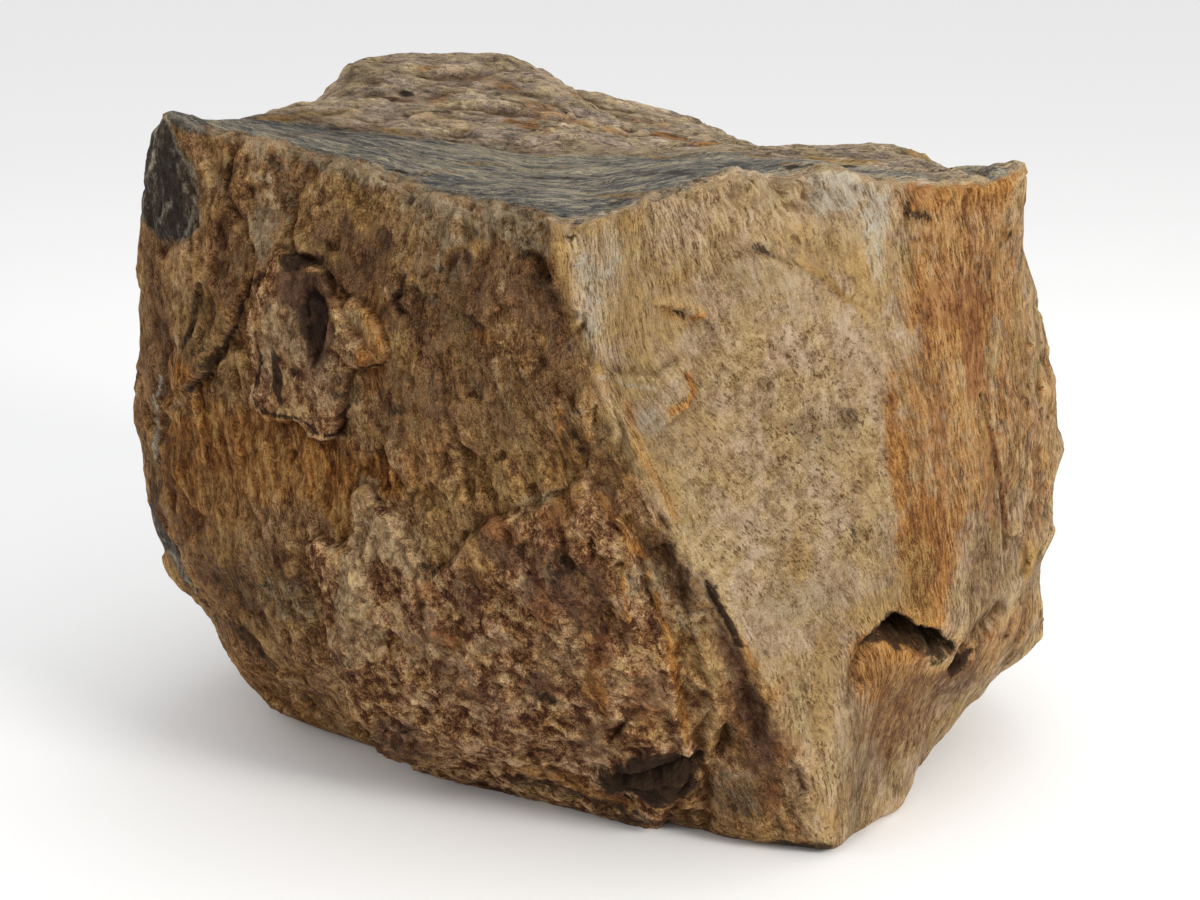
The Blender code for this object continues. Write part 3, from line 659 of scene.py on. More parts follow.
@dataclass
class Regions:
    """How far each point belongs to each face of the rock, from 0 to 1."""

    left: np.ndarray
    right: np.ndarray
    top: np.ndarray
    trough: np.ndarray
    crust: np.ndarray
    scab: np.ndarray
    rest: np.ndarray

    @classmethod
    def of(cls, points: np.ndarray, normals: np.ndarray) -> "Regions":
        """Sorts points into faces.

        Args:
            points: places on the worn rock, one row each.
            normals: the way out at each place.

        Returns:
            The shares of every face.
        """
        elevation = points[:, [0, 2]]
        front = fade(-normals[:, 1], 0.15, 0.45)
        left = front * fade(-normals[:, 0], -0.25, 0.05)
        top = fade(normals[:, 2], 0.55, 0.80)
        edge = 0.005 * fractal(points, 0.03)
        crust, scab = (
            left * fade(depth_inside(elevation, outline) + edge, -0.002, 0.004)
            for outline in (CRUST_OUTLINE, SCAB_OUTLINE)
        )
        trough = top * fade(-points[:, 1] - 0.35 * points[:, 0], -0.02, 0.06)
        return cls(left, front - left, top, trough, crust, scab, np.clip(1.0 - front - top, 0.0, 1.0))

    @property
    def bare(self) -> np.ndarray:
        """The left face beside the crust and the scab."""
        return self.left - self.crust - self.scab

    def grounds(self, spots: np.ndarray) -> dict[Ground, np.ndarray]:
        """Says how much of each kind of ground there is at each spot.

        Args:
            spots: the same places that were sorted.

        Returns:
            The share of each kind.
        """
        bare = self.bare
        broken = bare * fade(fractal(spots + 8.0, 0.07), -0.25, 0.25)
        return {
            Ground.WHOLE: np.ones(len(spots)),
            Ground.PLATED: bare,
            Ground.FLAKED: 0.4 * bare + 0.8 * broken,
            Ground.CHIPPED: 0.5 * bare + 0.6 * broken + self.scab,
            Ground.CRUST: self.crust,
            Ground.RIGHT: self.right,
            Ground.OUTER: self.right * fade(spots[:, 0], 0.41, 0.46),
            Ground.TROUGH: self.trough,
            Ground.HUMP: self.top - 0.7 * self.trough,
            Ground.RIM: near_rim(spots, RIM_REACH),
            Ground.BACK: self.rest * (1.0 + fade(spots[:, 1], 0.10, 0.25)),
            Ground.REST: self.rest,
        }


@dataclass
class Rock:
    """The boulder's shape, from its corner points to its carved skin."""

    corners: tuple = CORNERS
    base_detail: int = 7  # how often the ball behind each skin is subdivided
    skin_detail: int = 8
    lean: Point = (0.02, -0.50, 0.16)  # the skin's points crowd towards this side
    worn_steps: int = 26
    fresh_steps: int = 2
    arris_reach: float = 0.045
    swell: float = 0.0035  # makes up for what the wear takes off
    easing_steps: int = 7
    bed_calm: float = 0.03  # the relief fades out this low over the bed

    def net(self) -> bmesh.types.BMesh:
        """Joins the corner points into one closed net of flat facets, each as it is seen from the heart.

        Returns:
            The net.
        """
        net = bmesh.new()
        for corner in self.corners:
            net.verts.new((Vector(corner) - HEART).normalized())
        bmesh.ops.convex_hull(net, input=net.verts)
        for vert, corner in zip(net.verts, self.corners):
            vert.co = corner
        return net

    def skin(self, tree: BVHTree, detail: int, lean: Vector) -> bpy.types.Mesh:
        """Draws a fine skin over a shape.

        Args:
            tree: the shape to cover, seen from the heart.
            detail: how often the ball that gives the points is subdivided.
            lean: the side that the points crowd towards.

        Returns:
            The skin as a mesh.
        """
        skin = bmesh.new()
        bmesh.ops.create_icosphere(skin, subdivisions=detail, radius=1.0)
        for vert in skin.verts:
            vert.co = tree.ray_cast(HEART, (vert.co + lean).normalized())[0]
        mesh = bpy.data.meshes.new("boulder_skin")
        skin.to_mesh(mesh)
        skin.free()
        return mesh

    def worn(self) -> bpy.types.Mesh:
        """Wears the facets soft, and keeps the fresh arrises keen.

        Returns:
            The worn rock's mesh.
        """
        net = self.net()
        skin = self.skin(BVHTree.FromBMesh(net), self.base_detail, Vector())
        net.free()
        rock = placed("worn_rock", skin)
        fresh = points_of(modified(rock, "SMOOTH", iterations=self.fresh_steps))
        worn = modified(rock, "SMOOTH", iterations=self.worn_steps)
        bpy.data.objects.remove(rock)
        away = np.min([distance_to(fresh, arris)[0] for arris in FRESH_ARRISES], axis=0)
        wear = fade(away, 0.25 * self.arris_reach, self.arris_reach)[:, None]
        eased = points_of(worn) + self.swell * normals_of(worn)
        move_points(worn, wear * eased + (1.0 - wear) * fresh)
        return worn

    def fine_skin(self) -> bpy.types.Object:
        """Covers the worn rock with its fine skin, eased where the coarse one had facets.

        Returns:
            The rock, before it is carved.
        """
        shell = bmesh.new()
        shell.from_mesh(self.worn())
        skin = self.skin(BVHTree.FromBMesh(shell), self.skin_detail, Vector(self.lean))
        shell.free()
        rock = placed("boulder_stone", skin)
        rock.data = modified(rock, "SMOOTH", iterations=self.easing_steps)
        return rock

    def carved(self) -> tuple[bpy.types.Object, Site, Regions]:
        """Breaks up and carves the fine skin.

        Returns:
            The rock, the site that it was carved in, and the faces.
        """
        rock = self.fine_skin()
        base, normals = points_of(rock.data), normals_of(rock.data)
        site = Site(base, normals, base.copy())
        regions = Regions.of(base, normals)
        shares = regions.grounds(base)
        relief = sum(layer.over(base, shares[ground]) for ground, layer in LAYERS)
        site.raise_by(fade(base[:, 2], 0.0, self.bed_calm) * relief)
        for feature in FEATURES:
            feature.cut(site)
        move_points(rock.data, site.points)
        return rock, site, regions


# ---- The grain, the stains on the stone, and the shade and highlights painted with them. ----


@dataclass(frozen=True)
class Grain:
    """The run of the fibres over one face, as their slope at given spots.

    A spot is (u, v, slope): u runs across the face, v up or back, and slope is how far a fibre moves
    along u for each metre that it moves along v. The spots blend into each other over the reach.
    """

    spots: tuple[Point, ...]
    reach: float
    steps: int = 20

    def slope(self, u: np.ndarray, v: np.ndarray) -> np.ndarray:
        """Blends the fibres' slope from the spots near each place.

        Args:
            u: how far across each place lies.
            v: how far up or back.

        Returns:
            One slope for each place.
        """
        total = np.full(len(u), 1e-9)
        result = np.zeros(len(u))
        for spot_u, spot_v, slope in self.spots:
            weight = np.exp(-((u - spot_u) ** 2 + (v - spot_v) ** 2) / self.reach**2) + 1e-7
            total += weight
            result += weight * slope
        return result / total

    def follow(self, u: np.ndarray, v: np.ndarray, target: float) -> np.ndarray:
        """Follows the fibre through each place.

        Args:
            u: how far across each place lies.
            v: how far up or back.
            target: the v that every fibre is followed to.

        Returns:
            Where u is there.
        """
        stride = (target - v) / self.steps
        for _ in range(self.steps):
            u = u + self.slope(u, v) * stride
            v = v + stride
        return u


FRONT_GRAIN = Grain(
    (
        (-0.45, 0.60, -0.05), (-0.45, 0.20, -0.10), (-0.25, 0.55, -0.05), (-0.25, 0.20, -0.12),
        (-0.08, 0.60, -0.08), (-0.08, 0.35, -0.25), (0.00, 0.45, -0.42), (0.06, 0.35, -0.48),
        (0.12, 0.22, -0.45), (0.18, 0.10, -0.42), (0.03, 0.62, -0.10), (0.10, 0.63, -0.30),
        (0.15, 0.55, -0.65), (0.10, 0.48, -0.75), (0.20, 0.50, -1.00), (0.18, 0.35, -1.00),
        (0.25, 0.40, -0.90), (0.22, 0.25, -0.65), (0.20, 0.64, -0.35), (0.27, 0.62, -0.22),
        (0.32, 0.55, -0.22), (0.32, 0.40, -0.18), (0.31, 0.28, -0.15), (0.42, 0.55, -0.20),
        (0.45, 0.40, -0.18), (0.45, 0.25, -0.25), (0.33, 0.10, 0.35), (0.40, 0.12, 0.30),
    ),
    reach=0.06,
)
TOP_GRAIN = Grain(
    (
        (-0.05, -0.40, -0.72), (-0.15, -0.20, -0.70), (-0.30, -0.05, -0.45), (-0.28, 0.05, 0.45),
        (-0.20, 0.15, 0.80), (-0.10, 0.30, 0.50), (0.20, -0.30, -0.35), (0.10, 0.00, -0.25),
        (0.10, 0.20, -0.10), (0.35, -0.20, -0.15), (0.38, 0.10, -0.40), (0.30, 0.30, -0.35),
    ),
    reach=0.12,
)
GRAIN_LEVEL = 0.35  # the height that the front's fibres are followed to
HORN_OUTLINE = mm(  # the small dark facet under the left horn
    (-452, 718), (-434, 691), (-426, 667), (-419, 642), (-419, 612), (-428, 595), (-464, 586), (-493, 601),
    (-530, 660), (-510, 720),
)
PALE_EDGE = mm(  # where the pale face starts, from the rim down to the toe
    (-48, 666), (-40, 634), (-26, 577), (-7, 535), (6, 495), (21, 454), (47, 406), (68, 358), (96, 321),
    (118, 283), (141, 245), (162, 199), (173, 154), (190, 107), (201, 71), (211, 31),
)


class Tone(Enum):
    """The colours painted on the stone: mostly stains, and in DARK and CREAM also painted shade and painted
    highlights. Each is painted as a mask, three to an attribute.
    """

    PALE = ("tone_face", 0)
    CRUST = ("tone_face", 1)
    RUST = ("tone_face", 2)
    # DARK holds dark stains, and painted shade in cracks, clefts, the slot under the crust and the notch
    DARK = ("tone_stain", 0)
    GREY = ("tone_stain", 1)
    SLATE = ("tone_stain", 2)
    HUMP = ("tone_wash", 0)
    RED = ("tone_wash", 1)
    # CREAM holds pale stone, and painted highlights on the lips of ledges and ribs
    CREAM = ("tone_wash", 2)
    OCHRE = ("tone_tint", 0)
    PLUM = ("tone_tint", 1)
    CHALK = ("tone_tint", 2)


@dataclass(frozen=True)
class Stain:
    """A patch of one colour about an oval, with a ragged edge. The turn is in degrees."""

    tone: Tone
    at: Spot
    size: Spot
    strength: float = 1.0
    turn: float = 0.0

    def share(self, seen: np.ndarray, ragged: np.ndarray) -> np.ndarray:
        """Works out how strong the stain is at each place.

        Args:
            seen: the places, as they are seen from the front or from above.
            ragged: the unrest of the edge at each.

        Returns:
            One share for each place.
        """
        angle = math.radians(self.turn)
        offset = seen - np.array(self.at)
        along = offset @ np.array((math.cos(angle), math.sin(angle))) / self.size[0]
        across = offset @ np.array((-math.sin(angle), math.cos(angle))) / self.size[1]
        return self.strength * fade(1.20 - np.hypot(along, across) + 0.50 * ragged, 0.0, 0.5)


@dataclass(frozen=True)
class Vein:
    """A line of one colour."""

    tone: Tone
    line: tuple
    width: float
    strength: float

    def share(self, seen: np.ndarray, ragged: np.ndarray) -> np.ndarray:
        """How strong the vein is at each place."""
        away, _, past = distance_to(seen, self.line)
        return self.strength * fade(1.0 - np.hypot(away, past) / self.width + 0.25 * ragged, 0.0, 0.6)


# stains, and painted shade where the DARK rows lie in the slot, under the bulge and along the foot
STAINS_AND_SHADE: dict[Tone, tuple] = {  # on the front: x and z, half the width and height in mm, strength, turn
    Tone.RUST: (
        (-355, 385, 116, 52, 0.85), (-425, 340, 54, 86, 0.5), (-260, 365, 32, 48, 0.95),
        (-215, 390, 26, 22, 1, -30), (-440, 440, 26, 28, 0.8), (-215, 540, 14, 58, 0.7),
        (-220, 490, 10, 24, 0.7), (-110, 555, 14, 10, 0.9), (-170, 425, 22, 44, 0.5),
        (-460, 335, 24, 78, 0.7), (-425, 200, 44, 30, 0.5, -45), (-375, 60, 70, 30, 0.4, -35),
        (-230, 635, 16, 22, 0.4), (-30, 430, 18, 56, 0.5), (335, 290, 42, 74, 0.6),
        (290, 165, 52, 72, 0.35, 10), (-120, 330, 16, 30, 0.5), (-5, 205, 10, 30, 0.6, 10),
        (-40, 70, 62, 10, 0.5, -10), (5, 50, 42, 8, 0.7, -10), (435, 450, 24, 128, 0.5),
        (320, 135, 52, 70, 0.55), (370, 55, 28, 44, 0.4, 20), (365, 590, 74, 98, 0.62),
        (360, 430, 64, 124, 0.6, 4), (330, 305, 30, 92, 0.6, 8), (435, 160, 62, 38, 0.5, 25),
        (480, 350, 26, 122, 0.45), (295, 405, 12, 90, 0.85, 6), (365, 660, 72, 22, 0.55),
        (310, 205, 42, 16, 0.6, -10), (275, 190, 26, 40, 0.5), (175, 190, 20, 20, 0.5),
    ),
    # dark stains, and painted shade in the slot under the crust, under the bulge by the notch and along the
    # foot
    Tone.DARK: (
        (-295, 595, 24, 10, 0.6), (-315, 480, 8, 28, 0.8), (-295, 490, 10, 8, 0.8),
        (-245, 480, 16, 18, 0.5, 30), (-55, 620, 10, 16, 0.5, 20), (-75, 640, 14, 10, 0.4, -40),
        (-385, 670, 8, 18, 0.4), (-330, 685, 8, 12, 0.5), (-300, 595, 12, 10, 0.6), (-200, 465, 20, 8, 0.5),
        (-25, 465, 14, 38, 0.5), (-255, 215, 18, 56, 0.35), (-205, 90, 48, 18, 0.35, -20),
        (-35, 50, 84, 10, 0.6, -10), (-470, 355, 16, 44, 0.4), (-500, 265, 12, 68, 0.5),
        (-165, 310, 10, 10, 0.5), (-390, 140, 50, 12, 0.55, -38), (85, 300, 12, 24, 0.4, 30),
        (-405, 500, 26, 42, 0.34), (-370, 235, 64, 64, 0.34), (-430, 715, 32, 8, 0.5, -14),
        (-280, 570, 14, 18, 0.5), (-475, 210, 14, 50, 0.5, 28), (-30, 330, 14, 20, 0.4),
        (-50, 185, 12, 10, 0.6), (0, 280, 12, 32, 0.5), (-35, 345, 10, 14, 0.4), (-115, 300, 10, 24, 0.4),
        (55, 110, 46, 12, 0.9, 8), (-195, 115, 10, 8, 0.7), (45, 25, 64, 14, 0.5, -12),
        (115, 290, 4, 22, 0.5, 27), (130, 140, 8, 20, 0.5), (55, 355, 16, 32, 0.5, 30),
        (10, 455, 10, 38, 0.4, 15), (140, 65, 42, 26, 0.4), (195, 450, 36, 8, 0.35, -32),
        (245, 455, 10, 14, 0.5, 30), (150, 630, 10, 6, 0.5, -40), (-25, 655, 8, 2, 0.8, 10),
        (250, 340, 4, 14, 0.5, 10), (320, 640, 14, 6, 0.8, -15), (420, 605, 8, 4, 0.8),
        (305, 650, 4, 12, 0.6), (390, 580, 8, 4, 0.5), (380, 150, 10, 6, 0.8, 45),
        (425, 320, 2, 22, 0.5, 5), (455, 420, 4, 10, 0.5), (205, 10, 42, 8, 0.8), (-275, 550, 16, 28, 0.7),
        (-270, 520, 10, 24, 0.5), (55, 90, 60, 36, 0.97, 24),
    ),
    Tone.PLUM: (
        (-210, 630, 14, 10, 0.8, -30), (-250, 635, 8, 14, 0.7), (-145, 580, 58, 58, 0.45),
        (-245, 605, 40, 40, 0.5), (-190, 475, 40, 50, 0.4), (-65, 605, 28, 56, 0.5),
        (-115, 490, 58, 38, 0.35), (-380, 600, 20, 84, 0.35), (-480, 485, 24, 100, 0.4),
        (-445, 265, 24, 66, 0.5, 30), (-285, 535, 30, 60, 0.4), (-35, 540, 18, 56, 0.4),
        (-400, 210, 32, 44, 0.4, -30), (-255, 485, 14, 40, 0.4, -10), (-205, 555, 14, 18, 0.5),
        (-290, 570, 26, 26, 0.7), (-90, 350, 26, 24, 0.6, -20), (-165, 235, 34, 40, 0.45),
        (-125, 295, 20, 34, 0.45), (-50, 315, 22, 42, 0.5), (-10, 305, 22, 52, 0.55),
        (-125, 190, 40, 22, 0.4, -20), (-55, 200, 24, 22, 0.5), (-200, 100, 42, 32, 0.5),
        (-225, 275, 10, 40, 0.4), (0, 140, 40, 30, 0.4), (115, 290, 6, 28, 0.6, 25),
        (130, 235, 10, 32, 0.8, 22), (145, 185, 14, 30, 0.8, 20), (160, 130, 18, 30, 0.7, 15),
        (85, 305, 14, 26, 0.5, 25), (160, 140, 26, 60, 0.5, 10), (0, 425, 16, 48, 0.4, 15),
        (405, 255, 22, 64, 0.45, 4), (315, 115, 52, 64, 0.5), (250, 100, 16, 62, 0.35),
        (385, 130, 28, 32, 0.5, 40), (-280, 550, 24, 46),
    ),
    Tone.OCHRE: (
        (-280, 610, 40, 6, 0.9, -20), (-245, 655, 30, 50, 0.45), (-180, 635, 38, 38, 0.35),
        (-400, 490, 28, 74, 0.4, 20), (-170, 590, 22, 8, 0.8, -15), (-130, 555, 14, 20, 0.6),
        (-195, 540, 14, 30, 0.4), (-95, 450, 48, 58, 0.35), (-35, 635, 8, 46, 0.6, 10),
        (-155, 360, 50, 40, 0.35), (-115, 335, 14, 24, 0.35), (-370, 155, 44, 28, 0.35, -30),
        (95, 260, 20, 58, 0.4, 20), (140, 20, 32, 10, 0.4, -10), (50, 580, 38, 56, 0.55),
        (0, 665, 40, 12, 0.6), (35, 660, 14, 28, 0.4), (210, 620, 58, 26, 0.45, -30),
        (270, 595, 40, 34, 0.5, -30), (15, 515, 24, 10, 0.5, -20), (55, 425, 18, 56, 0.45, 30),
        (100, 455, 18, 48, 0.35, 30), (195, 325, 14, 30, 0.55), (255, 390, 20, 60, 0.35, 10),
        (270, 255, 40, 18, 0.6, 10), (220, 185, 16, 80, 0.6, -3), (440, 510, 10, 64, 0.5),
        (405, 385, 8, 54, 0.9, 8), (470, 240, 16, 22, 0.8), (320, 275, 24, 52, 0.5, 8),
        (240, 50, 14, 32, 0.5, -20),
    ),
    Tone.GREY: (
        (-330, 655, 26, 54, 0.4, 30), (-270, 695, 66, 14, 0.6, -14), (-340, 610, 12, 30, 0.7),
        (-150, 660, 58, 22, 0.5, -15), (-80, 655, 42, 14, 0.5, -30), (-145, 625, 20, 28, 0.4),
        (-330, 225, 32, 32, 0.4), (-425, 650, 10, 46, 0.5, 10), (-155, 680, 20, 10, 0.6),
        (-30, 675, 32, 8, 0.7, -8), (40, 325, 20, 34, 0.5, -10), (50, 205, 22, 26, 0.4),
        (85, 300, 28, 48, 0.4, 28), (130, 70, 30, 30, 0.4), (240, 650, 40, 24, 0.4, -10),
        (160, 685, 48, 22, 0.4), (170, 590, 58, 24, 0.35, -25), (225, 445, 40, 34, 0.35, -40),
        (195, 285, 50, 24, 0.5, -10), (375, 45, 30, 38, 0.4, 30), (250, 145, 14, 52, 0.4),
        (435, 205, 28, 22, 0.4, 30), (185, 185, 14, 20, 0.4),
    ),
    Tone.SLATE: (
        (-485, 205, 18, 60, 0.9, 28), (-430, 720, 32, 10, 1, -14), (195, 695, 58, 14, 0.5, -6),
    ),
    Tone.CREAM: (
        (-320, 520, 12, 40, 0.6, -10), (-255, 495, 22, 18, 0.4), (-235, 535, 14, 30, 0.5),
        (-230, 365, 14, 24, 0.9, 15), (-215, 330, 26, 26, 0.95), (-240, 275, 20, 46, 0.9, -10),
        (-235, 220, 26, 26, 0.7), (-190, 330, 16, 34, 0.7, 30), (-110, 240, 12, 8, 0.9),
        (-35, 240, 26, 34, 0.35), (-155, 225, 14, 8, 0.5), (-60, 400, 24, 6, 0.9, 28),
        (-295, 520, 16, 34, 0.5, 8), (-265, 470, 28, 12, 0.5), (205, 95, 20, 50, 0.45, -6),
    ),
    Tone.RED: (
        (-90, 365, 22, 12, 0.7, -20), (-170, 300, 10, 22, 0.5), (-145, 240, 20, 10, 0.6, -30),
        (-40, 385, 16, 14, 0.5), (0, 260, 16, 48, 0.5), (50, 195, 22, 40, 0.5), (-50, 290, 14, 28, 0.5),
        (-250, 255, 8, 52, 0.4, -8), (360, 550, 36, 28, 0.5), (385, 485, 14, 54, 0.6, 5),
        (320, 665, 18, 26, 0.45), (410, 340, 8, 64, 0.6, 8), (175, 455, 8, 6, 0.5),
        (345, 420, 12, 62, 0.35, 5), (185, 130, 18, 18, 0.5), (175, 70, 10, 20, 0.6),
    ),
    Tone.CHALK: (
        (-10, 605, 14, 46, 0.5, 10), (10, 640, 10, 38, 0.35), (230, 675, 34, 22, 0.6, -10),
        (265, 625, 12, 44, 0.5, 8), (275, 660, 14, 34, 0.45), (240, 690, 30, 8, 0.4),
        (45, 480, 14, 12, 0.35, -30),
    ),
}
# lines of stain, painted shadows in the cracks and painted highlights on the lips of ledges
VEINS_SHADOWS_AND_HIGHLIGHTS: dict[Tone, tuple] = {  # on the front: the line and its width in mm, strength
    # painted shadow in the cracks and clefts, under the scab's lower edge and under the bulge by the notch
    Tone.DARK: (
        (((-367, 685), (-374, 666), (-375, 647), (-366, 639), (-357, 627), (-357, 609), (-346, 592),
         (-360, 561)), 3, 0.6),
        (((-366, 541), (-374, 522), (-389, 498), (-400, 483), (-407, 462), (-420, 448), (-432, 432)), 3,
         0.8),
        (((-415, 554), (-419, 517), (-424, 498), (-436, 479)), 4, 0.6),
        (((-404, 625), (-388, 612), (-390, 595)), 3, 0.5),
        (((-340, 507), (-335, 490), (-342, 466), (-344, 450), (-340, 439), (-324, 437), (-303, 439),
         (-290, 440), (-280, 429), (-266, 427), (-265, 424), (-259, 435), (-245, 463)), 3, 0.9),
        (((-224, 510), (-217, 508), (-212, 507)), 3, 0.9),
        (((-184, 596), (-188, 585), (-198, 573), (-193, 561)), 3, 0.8),
        (((-116, 571), (-113, 564), (-108, 560)), 4, 0.8),
        (((-149, 616), (-151, 598), (-156, 577)), 3, 0.5),
        (((-36, 578), (-33, 563), (-29, 548)), 3, 0.5),
        (((105, 319), (113, 296), (125, 274), (136, 250)), 5, 0.8),
        (((6, 126), (16, 142), (26, 163), (29, 185)), 3, 0.6),
        (((69, 579), (79, 576)), 4, 1),
        (((152, 629), (180, 613), (197, 605), (216, 592)), 3, 0.4),
        (((0, 532), (27, 520), (51, 515), (57, 526)), 3, 0.35),
        (((372, 144), (381, 152), (388, 160), (399, 164)), 3, 0.9),
        (((399, 164), (408, 172), (417, 180)), 3, 0.5),
        (((416, 382), (426, 336), (437, 287)), 2, 0.5),
    ),
    # partly pale stone, partly painted highlight on the lips of ledges and ribs and on the crust's upper edge
    Tone.CREAM: (
        (((-317, 608), (-298, 603), (-280, 598), (-265, 592)), 3, 0.9),
        (((-177, 591), (-172, 581), (-153, 580)), 2, 0.7),
        (((3, 409), (17, 389), (32, 368)), 2, 0.5),
        (((92, 290), (95, 259), (107, 231), (113, 204), (116, 175), (111, 140)), 3, 0.5),
        (((-97, 533), (-92, 494)), 3, 1),
        (((-205, 580), (-211, 569)), 3, 0.9),
        (((-71, 526), (-66, 512)), 3, 0.7),
        (((-91, 618), (-90, 600)), 3, 0.6),
        (((-95, 657), (-95, 650)), 3, 0.7),
        (((-59, 535), (-61, 527)), 3, 0.6),
        (((-440, 498), (-441, 473)), 4, 0.5),
        (((-407, 462), (-424, 445), (-435, 425), (-457, 412), (-467, 397), (-490, 367)), 3, 0.8),
    ),
    Tone.RUST: (
        (((-4, 418), (12, 393), (24, 379), (39, 351), (48, 322), (58, 289), (67, 263), (74, 226), (81, 182),
         (87, 139)), 5, 1),
        (((22, 379), (28, 366), (21, 338), (23, 319), (29, 285)), 3, 0.8),
        (((3, 217), (7, 192), (9, 162)), 5, 0.8),
        (((132, 178), (142, 156), (150, 122)), 4, 0.7),
        (((133, 259), (144, 239), (152, 225)), 5, 0.7),
        (((23, 502), (36, 455), (59, 413), (72, 384)), 5, 0.8),
        (((-39, 492), (-31, 452), (-28, 422)), 5, 0.7),
        (((60, 585), (71, 575), (84, 569), (94, 575)), 5, 1),
        (((64, 488), (79, 492), (87, 503), (81, 521)), 6, 1),
        (((64, 605), (77, 610), (85, 623)), 3, 0.8),
        (((263, 226), (287, 250), (310, 248), (347, 231), (381, 188), (410, 186)), 6, 0.4),
        (((-451, 440), (-433, 436), (-438, 426)), 5, 1),
        (((-473, 356), (-458, 342), (-446, 329)), 5, 0.8),
    ),
    Tone.OCHRE: (
        (((102, 257), (107, 231), (113, 204), (116, 175), (111, 140), (105, 109)), 4, 0.7),
        (((-38, 652), (-30, 597), (-19, 554), (0, 532)), 4, 0.8),
        (((190, 613), (217, 595), (239, 571), (254, 563), (260, 550)), 5, 1),
    ),
    Tone.CHALK: (
        (((-1, 527), (26, 516), (50, 510)), 3, 0.5),
        (((-452, 718), (-443, 705), (-438, 689), (-426, 673), (-420, 653), (-422, 634)), 3, 0.8),
        (((-422, 634), (-426, 618), (-432, 603)), 3, 0.8),
        (((-450, 631), (-462, 619), (-467, 603)), 3, 0.8),
        (((-466, 682), (-474, 666), (-485, 648), (-494, 619)), 3, 0.9),
        (((-458, 714), (-469, 702), (-472, 681)), 3, 0.7),
        (((-442, 692), (-436, 666), (-430, 646)), 2, 0.6),
        (((-476, 432), (-486, 411), (-493, 383), (-493, 357), (-496, 331)), 3, 0.9),
    ),
    Tone.RED: (
        (((402, 417), (416, 382), (426, 336), (437, 287)), 4, 0.8),
    ),
}
TOP_STAINS: dict[Tone, tuple] = {  # on the hump and in the trough: x and y, half sizes in mm, strength, turn
    Tone.RUST: (
        (-205, 300, 16, 10, 0.7, 20), (-235, 200, 34, 10, 0.7, -29), (-185, 205, 16, 30, 0.6, -16),
        (-125, 270, 46, 20, 0.5, -43), (-55, 155, 62, 28, 0.5, -55), (-85, 100, 24, 10, 0.7, -44),
        (15, 110, 30, 14, 0.5, 31), (80, 135, 22, 18, 0.8, -18), (125, 65, 26, 18, 0.9),
        (-10, 270, 28, 26, 0.5, 27), (-330, 95, 46, 14, 0.4, 16), (55, 215, 34, 18, 0.5, -49),
    ),
    Tone.OCHRE: (
        (-360, 90, 28, 18, 0.8, 5), (-305, 135, 40, 22, 0.5, 14), (-170, 105, 58, 20, 0.4, -27),
        (-225, 70, 48, 10, 0.7, -45), (-60, -20, 18, 8, 0.8), (-125, -135, 40, 8, 0.6, 33),
        (65, -65, 40, 8, 0.6, -29), (235, -50, 28, 18, 0.8, -23), (185, -225, 26, 8, 1, -72),
        (275, -50, 40, 18, 0.7, 49), (360, 105, 20, 22, 0.6), (165, -90, 16, 14, 0.8, 23),
        (-40, -135, 54, 8, 0.4, 22), (-165, -215, 56, 6, 0.4, 49), (20, -325, 32, 10, 0.5, -29),
    ),
    Tone.CREAM: (
        (-60, 65, 10, 22, 1, -27), (-150, 230, 16, 14, 0.7, 6), (-315, -65, 72, 14, 0.3, 69),
    ),
    Tone.CHALK: (
        (-180, -75, 24, 14, 0.4, 35),
    ),
    Tone.GREY: (
        (-280, 285, 36, 36, 0.6, -27), (-290, 250, 32, 30, 0.5, -33), (25, 85, 46, 18, 0.5, 50),
        (-125, 365, 42, 44, 0.4), (-170, 155, 56, 18, 0.6, -6), (50, 290, 42, 22, 0.4, 53),
        (0, 10, 100, 22, 0.4, -11), (-45, 240, 32, 22, 0.4, -9),
    ),
    Tone.DARK: (
        (-285, 335, 8, 6, 0.8, -6), (-245, 205, 18, 8, 0.7, -21), (-225, 220, 10, 10, 1, -16),
        (-180, 135, 18, 8, 0.7, 23), (-355, 145, 22, 4, 0.6, 66), (-165, 295, 16, 6, 0.5),
        (-115, 200, 48, 8, 0.5, -33), (20, 75, 24, 6, 0.6, 40), (-200, -220, 12, 4, 1, -27),
        (0, -265, 54, 6, 0.4, -43), (-40, -215, 34, 8, 0.5, -18), (50, -240, 78, 14, 0.4, -50),
        (-125, -255, 34, 8, 0.4, 13), (255, -130, 22, 8, 0.9, 46), (190, -250, 18, 8, 0.9, -13),
        (135, -195, 20, 18, 0.4, -25), (-45, 195, 30, 6, 0.5, -24), (-130, 110, 36, 6, 0.5, -26),
        (-285, 80, 22, 6, 0.5, 26),
    ),
    Tone.SLATE: (
        (-285, -45, 62, 22, 0.8, 29), (-180, -40, 66, 36, 0.8, -15), (410, -125, 16, 10, 1, -15),
        (385, -100, 22, 18, 0.8, -13),
    ),
}


def stains(rows: dict[Tone, tuple]) -> tuple[Stain, ...]:
    """Makes a stain of each row."""
    return tuple(
        Stain(tone, *mm(row[:2], row[2:4]), *row[4:]) for tone, group in rows.items() for row in group
    )


def veins(rows: dict[Tone, tuple]) -> tuple[Vein, ...]:
    """Makes a vein of each row."""
    return tuple(
        Vein(tone, mm(*line), width / 1000.0, strength)
        for tone, group in rows.items()
        for line, width, strength in group
    )


